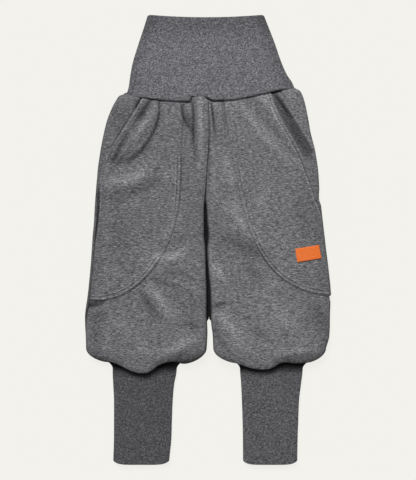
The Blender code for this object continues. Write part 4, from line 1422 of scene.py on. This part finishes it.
@dataclass(frozen=True)
class KnitFinish:
    """Melange knit: flecked yarn, a soft nap, stitching pressed in, and painted shade and light.
    """

    name: str
    dark: tuple[float, float, float]
    light: tuple[float, float, float]
    fleck: tuple[float, float, float]
    twist: float
    contrast: float
    nap: float
    rows: tuple[tuple[str, float], ...] = ()
    groove_shade: float = 0.3
    ridge_step: float = 1.6
    ridge_light: float = 0.55
    groove_depth: float = 0.9

    def material(self) -> bpy.types.Material:
        """Material of the finish, made once.

        Returns:
            The material.
        """
        found = bpy.data.materials.get(self.name)
        if found is not None:
            return found
        made, kit = new_surface(self.name, KNIT_SURFACE)
        yarn = kit.group(
            "melange_yarn",
            {"Fleck Size": tuple(PER_METRE / size for size in self.fleck), "Twist": self.twist,
             "Contrast": self.contrast, "Dark": (*self.dark, 1.0), "Light": (*self.light, 1.0)},
        )
        colour = yarn.outputs["Color"]
        height = kit.maths("MULTIPLY", yarn.outputs["Height"], self.nap)
        for inset, row in self.rows:
            groove = self.row_mark(kit, inset, row)
            ridge = self.row_mark(kit, inset, row + self.ridge_step)
            pressed = kit.maths("MULTIPLY", groove, self.groove_depth)
            height = kit.maths("SUBTRACT", height, pressed)
            # Painted shade darkens each row's groove, and a painted highlight lightens the ridge
            # beside it
            colour = self.shaded(kit, colour, kit.maths("MULTIPLY", groove, self.groove_shade))
            colour = self.shaded(kit, colour, kit.maths("MULTIPLY", ridge, -self.ridge_light))
        # Painted shade of seams, folds and turned edges, read from an attribute; under 0 it is
        # painted highlight
        painted_shade = kit.add("ShaderNodeAttribute", attribute_name="painted_shade").outputs["Fac"]
        cover(kit, self.shaded(kit, colour, painted_shade), height)
        return made

    def row_mark(self, kit: NodeKit, inset: str, row: float) -> bpy.types.NodeSocket:
        """How strongly a row of stitching marks the cloth.

        Args:
            kit: Kit of the material.
            inset: Attribute with the distance from the edge.
            row: Distance of the row from that edge.

        Returns:
            The strength, by the distance and by how much of the row shows there.
        """
        distance = kit.add("ShaderNodeAttribute", attribute_name=inset).outputs["Fac"]
        shown = kit.add("ShaderNodeAttribute", attribute_name=inset.replace("inset", "mark"))
        sockets = {"Distance": distance, "Row": row, "Width": ROW_WIDTH}
        near = kit.group("stitch_groove", sockets).outputs["Depth"]
        return kit.maths("MULTIPLY", near, shown.outputs["Fac"])

    def shaded(
        self, kit: NodeKit, colour: bpy.types.NodeSocket, shade: bpy.types.NodeSocket
    ) -> bpy.types.NodeSocket:
        """A colour made darker by a shade from 0 to 1, or lighter by one under 0."""
        return kit.vectors("MULTIPLY", colour, kit.maths("SUBTRACT", 1.0, shade))


@dataclass(frozen=True)
class LeatherFinish:
    """Bare imitation leather with a fine grain."""

    name: str
    colour: tuple[float, float, float]
    shade: tuple[float, float, float]
    grains: float = 450.0
    twist: float = 1.5
    contrast: float = 2.0
    relief: float = 0.12

    def material(self) -> bpy.types.Material:
        """Material of the finish.

        Returns:
            The material.
        """
        made, kit = new_surface(self.name, LEATHER_SURFACE)
        yarn = kit.group(
            "melange_yarn",
            {"Fleck Size": (self.grains,) * 3, "Twist": self.twist, "Contrast": self.contrast,
             "Dark": (*self.shade, 1.0), "Light": (*self.colour, 1.0)},
        )
        relief = kit.maths("MULTIPLY", yarn.outputs["Height"], self.relief)
        cover(kit, yarn.outputs["Color"], relief)
        return made


POUCH_MARKS = tuple(("pouch_inset", row) for row in POUCH_ROWS)
HEM_MARKS = tuple(("mouth_inset", row) for row in HEM_ROWS)
SWEAT = KnitFinish("leg_sweat_cloth", (0.030, 0.030, 0.032), (0.430, 0.430, 0.451),
                   (4.6, 1.2, 2.0), 0.3, 2.65, 0.24)
POCKET_SWEAT = KnitFinish("pocket_sweat_cloth", (0.030, 0.030, 0.032), (0.420, 0.420, 0.440),
                          (4.6, 1.2, 2.0), 0.3, 2.75, 0.24, POUCH_MARKS + HEM_MARKS)
RIB = KnitFinish("band_rib_knit", (0.030, 0.030, 0.033), (0.440, 0.440, 0.474),
                 (2.4, 1.5, 2.0), 0.7, 2.8, 0.18)
# The right cuff's rib is a darker copy of the left's, as painted shade; both are darker than the
# band's rib
RIGHT_CUFF_RIB = KnitFinish("right_cuff_rib_knit", (0.016, 0.016, 0.017), (0.215, 0.213, 0.231),
                            (2.4, 1.7, 2.0), 0.7, 2.8, 0.18)
LEFT_CUFF_RIB = KnitFinish("left_cuff_rib_knit", (0.018, 0.018, 0.019), (0.270, 0.268, 0.288),
                           (2.4, 1.7, 2.0), 0.7, 2.8, 0.18)
LEATHER = LeatherFinish("orange_label_leather", (0.99, 0.262, 0.046), (0.66, 0.115, 0.012))
THREAD = KnitFinish("sewing_thread", (0.10, 0.10, 0.105), (0.23, 0.23, 0.24),
                    (0.6, 0.6, 0.6), 0.0, 1.4, 0.05)


@dataclass(frozen=True)
class Stitching:
    """Row of stitches along a line on the cloth, made by Geometry Nodes."""

    pitch: float = 2.7
    length: float = 2.2
    thickness: float = 0.34
    bead_sides: int = 6
    bead_rings: int = 4

    def tree(self) -> bpy.types.NodeTree:
        """Geometry Nodes tree that lays stitches along the edges of a mesh.

        Returns:
            The tree, built once.
        """
        found = bpy.data.node_groups.get("stitch_row")
        if found is not None:
            return found
        tree = bpy.data.node_groups.new("stitch_row", "GeometryNodeTree")
        face = tree.interface
        face.new_socket("Geometry", in_out="INPUT", socket_type="NodeSocketGeometry")
        for label in ("Pitch", "Stitch Length", "Thread Thickness"):
            face.new_socket(label, in_out="INPUT", socket_type="NodeSocketFloat")
        face.new_socket("Thread", in_out="INPUT", socket_type="NodeSocketMaterial")
        face.new_socket("Geometry", in_out="OUTPUT", socket_type="NodeSocketGeometry")
        kit = NodeKit(tree)
        source = kit.add("NodeGroupInput")
        curve = kit.add("GeometryNodeMeshToCurve", {"Mesh": source.outputs["Geometry"]}).outputs[0]
        spaced = kit.add(
            "GeometryNodeResampleCurve", {"Curve": curve, "Length": source.outputs["Pitch"]},
            mode="LENGTH",
        ).outputs[0]
        tangent = kit.add("GeometryNodeInputTangent").outputs[0]
        turned = kit.add(
            "FunctionNodeAlignRotationToVector", {"Vector": tangent}, axis="X"
        ).outputs[0]
        sides = {"Segments": self.bead_sides, "Rings": self.bead_rings, "Radius": 0.5}
        bead = kit.add("GeometryNodeMeshUVSphere", sides)
        length, thick = source.outputs["Stitch Length"], source.outputs["Thread Thickness"]
        size = kit.add("ShaderNodeCombineXYZ", {0: length, 1: thick, 2: thick})
        laid = kit.add(
            "GeometryNodeInstanceOnPoints",
            {"Points": spaced, "Instance": bead.outputs[0], "Rotation": turned,
             "Scale": size.outputs[0]},
        ).outputs[0]
        real = kit.add("GeometryNodeRealizeInstances", {"Geometry": laid}).outputs[0]
        dressed = kit.add(
            "GeometryNodeSetMaterial", {"Geometry": real, "Material": source.outputs["Thread"]}
        ).outputs[0]
        kit.add("NodeGroupOutput", {"Geometry": dressed})
        return tree

    def sew(self, name: str, lines: Sequence[Array]) -> bpy.types.Object:
        """Stitches along lines of points.

        Args:
            name: Name of the piece.
            lines: Points of each row, in millimetres.

        Returns:
            The stitches, as one plain mesh.
        """
        points = np.vstack(lines)
        edges, start = [], 0
        for line in lines:
            edges += [(start + i, start + i + 1) for i in range(len(line) - 1)]
            start += len(line)
        path = bpy.data.meshes.new(name + "_path")
        path.from_pydata((points * MM).tolist(), edges, [])
        guide = add_object(name + "_path", path)
        modifier = guide.modifiers.new("stitches", "NODES")
        modifier.node_group = self.tree()
        sizes = {
            "Pitch": self.pitch * MM,
            "Stitch Length": self.length * MM,
            "Thread Thickness": self.thickness * MM,
            "Thread": THREAD.material(),
        }
        for item in modifier.node_group.interface.items_tree:
            if item.item_type == "SOCKET" and item.name in sizes:
                modifier[item.identifier] = sizes[item.name]
        graph = bpy.context.evaluated_depsgraph_get()
        mesh = bpy.data.meshes.new_from_object(guide.evaluated_get(graph))
        bpy.data.objects.remove(guide, do_unlink=True)
        mesh.name = name
        mesh.shade_smooth()
        return add_object(name, mesh)


def contour(surface: ClothSurface, field: Array, level: float, curve: Array, keep: Array) -> Array:
    """Points of a surface where a field has one level, in order along a curve.

    Args:
        surface: The surface.
        field: The field at each of its points.
        level: The level that is wanted.
        curve: Line (x, y) that gives the order.
        keep: Field that has to be over 0 at the points.

    Returns:
        The points, evenly thinned.
    """
    found = []
    for axis in (0, 1):
        size = field.shape[axis] - 1
        before, after = (
            [np.take(a, range(k, size + k), axis) for a in (field, keep, surface.points)]
            for k in (0, 1)
        )
        crossed = (before[0] - level) * (after[0] - level) < 0
        crossed = crossed & (before[1] > 0) & (after[1] > 0)
        low, high = before[0][crossed], after[0][crossed]
        share = ((level - low) / (high - low))[:, None]
        found.append(before[2][crossed] * (1 - share) + after[2][crossed] * share)
    points = np.vstack(found)
    place = line_distance(curve, points[:, 0], points[:, 1])[1]
    points = points[np.argsort(place)]
    spans = [
        points[max(i - CONTOUR_REACH, 0):i + CONTOUR_REACH + 1]
        for i in range(0, len(points), CONTOUR_STEP)
    ]
    return np.array([span.mean(axis=0) for span in spans])


@dataclass
class Leg:
    """One leg: its front, back, pocket and stitching."""

    form: LegForm
    cut: PocketCut
    folds: tuple[Fold, ...]
    hip_folds: tuple[Fold, ...]
    front_cut: tuple[float, float] = (0.176, 0.392)
    back_cut: tuple[float, float] = (0.172, 0.380)
    pocket_cut: tuple[float, float] = (0.138, 0.262)
    fills: tuple[float, float, float] = (0.78, 0.76, 0.60)

    def build(self) -> list[bpy.types.Object]:
        """Make every piece of the leg.

        Returns:
            The pieces.
        """
        word = self.form.side.word
        face = self.form.face(True).pressed(self.folds, self.form.puff_rows)
        mouth, pouch = self.cut.distances(face)
        front = self.front(face, mouth, pouch)
        pocket, stitches = self.pocket(face, mouth, pouch)
        back = self.back()
        sewn = ("front_" + word, "back_" + word, "pocket_" + word)
        cuts = (self.front_cut, self.back_cut, self.pocket_cut)
        for piece, node, cut, fill in zip((front, back, pocket), sewn, cuts, self.fills):
            dress(piece, node)
        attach(stitches, "root")
        return [front, back, pocket, stitches]

    def front(self, face: ClothSurface, mouth: Array, pouch: Array) -> bpy.types.Object:
        """Front of the leg, which falls away behind its pocket's mouth.

        Args:
            face: Outer face of the front.
            mouth: Distance inside the pocket's mouth.
            pouch: Distance inside its curved seam.

        Returns:
            The piece.
        """
        lifted = SEAM_LIFT * np.exp(-(((pouch - SEAM_LIFT_AT) / SEAM_LIFT_WIDTH) ** 2))
        lifted = lifted * (mouth > 0) * (face.normals[:, :, 2] > FACES_UP)
        outer = face.raised(self.form.seam_roll(face.points) + lifted).pressed(self.hip_folds)
        inner = outer.points - outer.normals * LEG_CLOTH
        # Painted shade and painted highlights of the front, kept as an attribute
        marks = {"painted_shade": self.painted_shade(face, self.folds + self.hip_folds)}
        piece = wall_piece("front_cloth_" + self.form.side.word, outer.points, inner, None, marks)
        piece.data.materials.append(SWEAT.material())
        return piece

    def painted_shade(self, face: ClothSurface, folds: Sequence[Fold]) -> Array:
        """Painted shade of the cloth at its seams, deep between the legs, in its folds and where
        it turns to its sides.

        Args:
            face: Outer face of the front.
            folds: Folds that the cloth lies in.

        Returns:
            The painted shade at each point, under 0 where a painted highlight makes the cloth
            lighter.
        """
        x, y = face.flat()
        shade = sum(fold.shade * fold.share(x, y) for fold in folds if fold.shade)
        shade = shade.reshape(face.points.shape[:2]) * (face.normals[:, :, 2] > 0)
        light = (1 - np.clip(shade, LIGHTEST_SHADE, 1)) * (1 - self.form.seam_shade(face.points))
        light = light * (1 - turned_shade(face.normals[:, :, 2]))
        return np.minimum(1 - light, DEEPEST_SHADE)

    def pocket(
        self, face: ClothSurface, mouth: Array, pouch: Array
    ) -> tuple[bpy.types.Object, bpy.types.Object]:
        """Pocket laid on the front, and its stitching.

        Args:
            face: Outer face of the front.
            mouth: Distance inside the pocket's mouth.
            pouch: Distance inside its curved seam.

        Returns:
            The pocket and the stitches.
        """
        word = self.form.side.word
        rows = int(np.sum(self.form.heights() > self.cut.pouch[-1][1] - POCKET_MARGIN))
        part = slice(0, rows), slice(0, -2)
        panel = ClothSurface(face.points[part], face.normals[part])
        mouth, pouch = mouth[part], pouch[part]
        inside = np.minimum(mouth, pouch)
        lip = np.clip(1 - np.maximum(inside, 0) / LIP_RADIUS, 0, 1)
        heights = panel.points[:, :, 1]
        shown = strength_at(self.cut.pouch_rows, heights)
        swell = SWELL * shown * np.exp(-(((pouch - sum(POUCH_ROWS) / 2) / SWELL_WIDTH) ** 2))
        roll = self.form.seam_roll(panel.points)
        thick = POCKET_CLOTH * np.sqrt(1 - LIP_THINNING * lip**2) + swell
        inner = panel.raised(roll + SEAM_GAP)
        outer = panel.raised(roll + SEAM_GAP + thick)
        marks = {
            "mouth_inset": mouth,
            "mouth_mark": strength_at(self.cut.mouth_rows, heights),
            "pouch_inset": pouch,
            "pouch_mark": shown,
            # Painted shade and painted highlights of the front, under the pocket too
            "painted_shade": self.painted_shade(face, self.folds)[part],
        }
        piece = wall_piece("pocket_cloth_" + word, outer.points, inner.points, inside, marks)
        piece.data.materials.append(POCKET_SWEAT.material())
        sunk = ClothSurface(outer.points - outer.normals * STITCH_SINK, outer.normals)
        lines = []
        for rows, field, curve, keep in ((POUCH_ROWS, pouch, self.cut.pouch, mouth),
                                         (HEM_ROWS, mouth, self.cut.mouth, pouch)):
            line = self.cut.line(curve)
            lines += [contour(sunk, field, row, line, keep - STITCH_MARGIN) for row in rows]
        return piece, Stitching().sew("pocket_stitches_" + word, lines)

    def back(self) -> bpy.types.Object:
        """Back of the leg, flat on the surface, with a few folds in its underside.

        Returns:
            The piece.
        """
        face = self.form.face(False)
        face.points[:, :, 2] = np.maximum(face.points[:, :, 2], 0)
        shape = face.points.shape[:2]
        x, y = face.flat()
        dent = sum(fold.rise * fold.share(np.abs(x), y) for fold in BACK_FOLDS).reshape(shape)
        under = np.clip(-face.normals[:, :, 2], 0, 1) ** UNDER_POWER
        roll = self.form.seam_roll(face.points) * (1 - under)
        outer = face.raised(dent * under + roll)
        inner = outer.points - face.normals * LEG_CLOTH
        # Painted shade along the side seam and where the back turns to its sides
        from_side, _ = self.form.seam_ways(face.points)
        raised = np.array([self.form.rise_at(height) for height in face.points[:, 0, 1]])[:, None]
        seam = BACK_SEAM_SHADE * raised / FULL_RISE * np.exp(-((from_side / SHADE_WIDTH) ** 2))
        light = (1 - turned_shade(face.normals[:, :, 2])) * (1 - np.clip(seam, 0, 1))
        marks = {"painted_shade": 1 - light}
        piece = wall_piece("back_cloth_" + self.form.side.word, outer.points, inner, None, marks)
        piece.data.materials.append(SWEAT.material())
        return piece


def dress(piece: bpy.types.Object, node: str) -> None:
    """Let a piece stand for its solid and ride with the joggers.

    Args:
        piece: The piece.
        node: Name of its solid.
    """
    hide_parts(node)
    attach(piece, "root")


@dataclass
class RibTube:
    """Tube of doubled rib: up the outside, over the fold and back down the inside."""

    name: str
    node: str
    slot: str
    heights: Array
    columns: int
    sides: Callable[[float], tuple[float, float, float]]
    line: Callable[[float, Array, Array], Array]
    finish: KnitFinish
    cut: tuple[float, float]
    shade: Callable[[Array, Array], Array]
    folds: tuple[Fold, ...] = ()
    depth: tuple[Step, ...] = (Step(0.0, 1.0),)

    def ring(self, y: float) -> tuple[Array, Array]:
        """Closed ring (x, z) of the tube laid flat, and its outward normals.

        Args:
            y: Height.

        Returns:
            The points and the normals.
        """
        low, high, crown = self.sides(y)
        top = arch((low, SIDE_Z), (high, SIDE_Z), crown, (TUBE_POWER, TUBE_POWER))
        right = turn_up(high, SIDE_Z, -TUBE_TURN)[::-1]
        ring = np.vstack([top, right[1:], turn_up(low, SIDE_Z, TUBE_TURN)])
        points, headings = spread(ring, self.columns + 1)
        headings = headings[:-1]
        headings[0] = (0.0, 1.0)
        return points[:-1], np.column_stack([-headings[:, 1], headings[:, 0]])

    def build(self) -> bpy.types.Object:
        """Make the tube.

        Returns:
            The piece.
        """
        past = np.sign(self.heights[-1] - self.heights[0]) * RIB_WALL / 2
        stations = [(y, 0.0, 0.0) for y in self.heights]
        turns = np.linspace(0, np.pi, HEM_STEPS)[1:-1]
        stations += [(self.heights[-1], 1 - cos(t), sin(t)) for t in turns]
        stations += [(y, 2.0, 0.0) for y in self.heights[::-1]]
        rings, facing = [], []
        for y, depth, beyond in stations:
            points, normals = self.ring(y)
            facing.append(normals[:, 1])
            x, z = points[:, 0], points[:, 1]
            across = self.line(y, x, z) + past * beyond
            edge = abs(y - self.heights[0])
            roll = EDGE_ROLL * np.exp(-((edge / EDGE_ROLL_WIDTH) ** 2))
            roll = roll * strength_at(self.depth, x)
            inset = points - normals * (depth * RIB_WALL / 2 + roll[:, None])
            bend = np.zeros(len(x))
            for fold in self.folds:
                bend = bend + fold.rise * fold.share(inset[:, 0], across)
            up = np.clip(normals[:, 1], 0, 1)
            rings.append(np.column_stack([inset[:, 0], across, inset[:, 1] + bend * up]))
        count = self.columns
        faces = []
        for k in range(len(rings)):
            here, there = k * count, (k + 1) % len(rings) * count
            for i in range(count):
                j = (i + 1) % count
                faces.append((here + i, here + j, there + j, there + i))
        points = np.vstack(rings)
        upper = points[:, 2] > SIDE_Z
        # Painted shade from the tube's shade and where it turns to its sides
        shade = np.clip(self.shade(points[:, 0], points[:, 1]), 0, 1)
        turned = turned_shade(np.concatenate(facing))
        # Painted shade of the tube, kept as an attribute
        marks = {"painted_shade": 1 - (1 - shade * upper) * (1 - turned)}
        piece = make_piece(self.name, points, faces, marks)
        piece.data.materials.append(self.finish.material())
        dress(piece, self.node)
        return piece


def edge_rise(x: Array, rise: float, corner: float) -> Array:
    """How far a tube's open edge rises from its middle to its corners."""
    low, high = x.min(), x.max()
    return rise * np.abs((2 * x - low - high) / (high - low)) ** corner


def make_waistband() -> RibTube:
    """Tall waistband of doubled rib, folded at the top.

    Returns:
        The band, ready to build.
    """

    def line(y: float, x: Array, z: Array) -> Array:
        """Height of a ring's points, between the waist seam and the fold at the top.

        Args:
            y: Height of the ring on a band without curves.
            x: x of the ring's points.
            z: z of the ring's points.

        Returns:
            The height of each point.
        """
        seam = waist_seam(x, z) + waist_gap(x) / 2
        top = BAND_TOP_Y - RIB_WALL / 2 + edge_rise(x, BAND_TOP_CORNER, BAND_TOP_POWER)
        top = top - edge_rise(x, BAND_CORNER_DROP, BAND_CORNER_POWER)
        return seam + (top - seam) * (y - WAIST_Y) / (BAND_TOP_Y - WAIST_Y)

    def sides(y: float) -> tuple[float, float, float]:
        """Both sides and the crown of the band at a height."""
        return smooth(BAND, "right", y), smooth(BAND, "left", y), smooth(BAND, "crown", y)

    def shade(x: Array, y: Array) -> Array:
        """Painted shade of the band at its seam, at its sides and towards its top.

        Args:
            x: x of the points.
            y: y of the points.

        Returns:
            The shade at each point.
        """
        above = y - waist_seam(x, np.full(len(x), BAND[0].crown))
        seam = BAND_SEAM_SHADE * strength_at(WAIST_SHADE, x)
        seam = seam * np.exp(-((above / BAND_SEAM_WIDTH) ** 2))
        low, high = (np.array([smooth(BAND, name, at) for at in y]) for name in ("right", "left"))
        side = np.minimum(x - low, high - x)
        broad = BAND_SIDE_SHADE * (1 - ease(*BAND_SIDE_SPAN, side))
        return np.maximum(seam, BAND_TOP_SHADE * ease(*BAND_TOP_SPAN, y) + broad)

    heights = np.concatenate([np.linspace(*rows) for rows in BAND_ROWS])
    return RibTube("waistband_rib", "waistband", "rib_knit", heights, BAND_COLUMNS, sides, line,
                   RIB, BAND_CUT, shade, BAND_FOLDS, WAIST_DEPTH)


def make_cuff(form: LegForm) -> RibTube:
    """Long cuff of doubled rib, folded at the hem.

    Args:
        form: Form of the leg.

    Returns:
        The cuff, ready to build.
    """

    def line(y: float, x: Array, z: Array) -> Array:
        """Height of a ring's points, with the hem's corners turned up a little."""
        return y + edge_rise(x, HEM_CORNER, HEM_CORNER_POWER) * ease(HEM_REACH, 0, y - HEM_Y)

    def sides(y: float) -> tuple[float, float, float]:
        """Both sides and the crown of the cuff at a height.

        Args:
            y: Height.

        Returns:
            All three.
        """
        outer, inner = form.cuff_sides(y)
        flare = CUFF_FLARE * max(0.0, 1 - (CUFF_Y - y) / CUFF_FLARE_REACH) ** 2
        return min(outer, inner) - flare, max(outer, inner) + flare, CUFF_CROWN

    def shade(x: Array, y: Array) -> Array:
        """Painted shadow that the gathered cloth above casts on the cuff.

        Args:
            x: x of the points.
            y: y of the points.

        Returns:
            The shade at each point.
        """
        below = np.maximum(np.interp(x, *edge) - y, 0)
        deep = np.maximum(CUFF_SHADE_Y - y, 0)
        aside = np.abs(x - middle) / half
        reach = CUFF_SHADE_REACH + CUFF_END_REACH * aside**CUFF_END_POWER
        near = np.minimum(below / reach, deep / CUFF_SHADE_DEPTH)
        return CUFF_SHADE * np.exp(-(near**2))

    edge = form.puff_edge()
    low, high, _ = sides(CUFF_SHADE_Y - CUFF_SHADE_DEPTH)
    middle, half = (low + high) / 2, (high - low) / 2
    heights = np.linspace(*CUFF_ROWS)
    word = form.side.word
    finish = {Side.RIGHT: RIGHT_CUFF_RIB, Side.LEFT: LEFT_CUFF_RIB}[form.side]
    return RibTube("cuff_rib_" + word, "cuff_" + word, "cuff_knit", heights, CUFF_COLUMNS, sides,
                   line, finish, CUFF_CUT, shade)


@dataclass
class Label:
    """Small bare patch of imitation leather on the left pocket."""

    width: float = 30.0
    height: float = 17.0
    x: float = 125.4
    y: float = -17.3
    angle: float = radians(9.3)
    columns: int = 60
    rows: int = 36
    faces_up: float = 0.2
    nearest: int = 4
    least_gap: float = 0.01
    edge_rounding: float = 0.35
    edge_width: float = 0.8

    def build(self, form: LegForm, folds: Sequence[Fold]) -> bpy.types.Object:
        """Make the label on the pocket's face.

        Args:
            form: The leg that it lies on.
            folds: Folds of that leg.

        Returns:
            The piece.
        """
        face = form.face(True).pressed(folds, form.puff_rows)
        upright = face.normals[:, :, 2].ravel() > self.faces_up
        points, normals = face.points.reshape(-1, 3)[upright], face.normals.reshape(-1, 3)[upright]
        u, v = np.meshgrid(np.linspace(-0.5, 0.5, self.columns), np.linspace(-0.5, 0.5, self.rows))
        px = self.x + u * self.width * cos(self.angle) - v * self.height * sin(self.angle)
        py = self.y + u * self.width * sin(self.angle) + v * self.height * cos(self.angle)
        grid = np.zeros((*u.shape, 3))
        way = np.zeros((*u.shape, 3))
        for i in range(self.rows):
            for j in range(self.columns):
                gap = (points[:, 0] - px[i, j]) ** 2 + (points[:, 1] - py[i, j]) ** 2
                near = np.argpartition(gap, self.nearest)[:self.nearest]
                weight = 1 / (gap[near] + self.least_gap)
                weight = weight / weight.sum()
                grid[i, j] = px[i, j], py[i, j], weight @ points[near, 2]
                way[i, j] = weight @ normals[near]
        border = np.minimum.reduce([(u + 0.5) * self.width, (0.5 - u) * self.width,
                                    (v + 0.5) * self.height, (0.5 - v) * self.height])
        rounding = self.edge_rounding * np.clip(1 - border / self.edge_width, 0, 1) ** 2
        lift = 2 * SEAM_GAP + POCKET_CLOTH
        inner = grid + way * lift
        outer = grid + way * (lift + LABEL_LEATHER - rounding)[..., None]
        piece = wall_piece("label_patch", outer, inner)
        piece.data.materials.append(LEATHER.material())
        dress(piece, "label")
        return piece


@dataclass
class Studio:
    """Pale floor, soft light and a camera straight above."""

    lens: float = 150.0
    sensor: float = 36.0
    view_height: float = 604.8
    aim: tuple[float, float] = (0.1, -0.2)
    level: float = 4.0
    surround: float = 0.30
    key_strength: float = 3.3
    key_width: float = 26.0
    key_from: tuple[float, float, float] = (-0.20, 0.68, 0.70)
    floor_colour: tuple[float, float, float] = (0.060, 0.059, 0.056)
    floor_glow: tuple[float, float, float] = (0.830, 0.823, 0.787)
    floor_reach: float = 3.0
    floor_drop: float = 0.0004
    # Tile of floor under the middle seam that doesn't glow, as painted shade under the gap between
    # the legs
    dim_half_width: float = 0.006
    dim_top: float = 0.2
    dim_foot: float = (CROTCH_Y + 2.0) * MM
    far: float = 100.0

    def build(self) -> None:
        """Make the floor, the lights and the camera."""
        bpy.context.scene.view_settings.view_transform = "Standard"
        self.floor()
        self.lights()
        self.camera()

    def floor(self) -> None:
        """Plain pale floor, lit from within like a light table, but for a dark tile under the seam
        as painted shade.
        """
        mesh = bpy.data.meshes.new("studio_floor")
        across = (-self.floor_reach, -self.dim_half_width, self.dim_half_width, self.floor_reach)
        up = (-self.floor_reach, self.dim_foot, self.dim_top, self.floor_reach)
        corners = [(x, y, -self.floor_drop) for y in up for x in across]
        tiles = [(4 * j + i, 4 * j + i + 1, 4 * j + i + 5, 4 * j + i + 4)
                 for j in range(3) for i in range(3)]
        mesh.from_pydata(corners, [], tiles)
        floor = add_object("studio_floor", mesh)
        for name, glow in (("pale_floor", self.floor_glow), ("painted_shade_floor_tile", (0.0, 0.0, 0.0))):
            settings = {
                "Base Color": (*self.floor_colour, 1.0), "Roughness": 1.0,
                "Specular IOR Level": 0.0, "Emission Color": (*glow, 1.0),
                "Emission Strength": 1.0,
            }
            mesh.materials.append(new_surface(name, settings)[0])
        # The tile under the seam gets the dark finish, painted shade under the gap between the
        # legs
        mesh.polygons[len(tiles) // 2].material_index = 1

    def lights(self) -> None:
        """Large soft light above and towards the waist, with an even surround."""
        world = bpy.data.worlds.new("studio")
        world.use_nodes = True
        world.node_tree.nodes["Background"].inputs["Color"].default_value = (1, 1, 1, 1)
        world.node_tree.nodes["Background"].inputs["Strength"].default_value = self.surround
        bpy.context.scene.world = world
        lamp = bpy.data.lights.new("soft_key", "SUN")
        lamp.energy = self.key_strength
        lamp.angle = radians(self.key_width)
        key = add_object("soft_key", lamp)
        key.rotation_euler = Vector(self.key_from).to_track_quat("Z", "Y").to_euler()

    def camera(self) -> None:
        """Camera straight above, as far away as its long lens needs."""
        data = bpy.data.cameras.new("camera")
        data.lens = self.lens
        data.sensor_width = self.sensor
        away = self.view_height / 2 / (self.sensor / 2 / self.lens)
        data.clip_end = self.far
        camera = add_object("camera", data)
        camera.location = (self.aim[0] * MM, self.aim[1] * MM, (self.level + away) * MM)
        bpy.context.scene.camera = camera


def main() -> None:
    """Make the studio and every piece."""
    logging.basicConfig(level=logging.INFO, format="%(message)s")
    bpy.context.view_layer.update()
    Studio().build()
    right = Leg(LegForm(Side.RIGHT, FULL_RISE), RIGHT_POCKET, RIGHT_FOLDS, RIGHT_HIP_FOLDS)
    left = Leg(LegForm(Side.LEFT, 0.0), LEFT_POCKET, LEFT_FOLDS, LEFT_HIP_FOLDS)
    pieces = []
    for leg in (right, left):
        pieces += leg.build()
        pieces.append(make_cuff(leg.form).build())
    pieces.append(make_waistband().build())
    pieces.append(Label().build(left.form, left.folds))
    for piece in pieces:
        LOG.info("%s: %d faces", piece.name, len(piece.data.polygons))


if __name__ == "__main__":
    main()
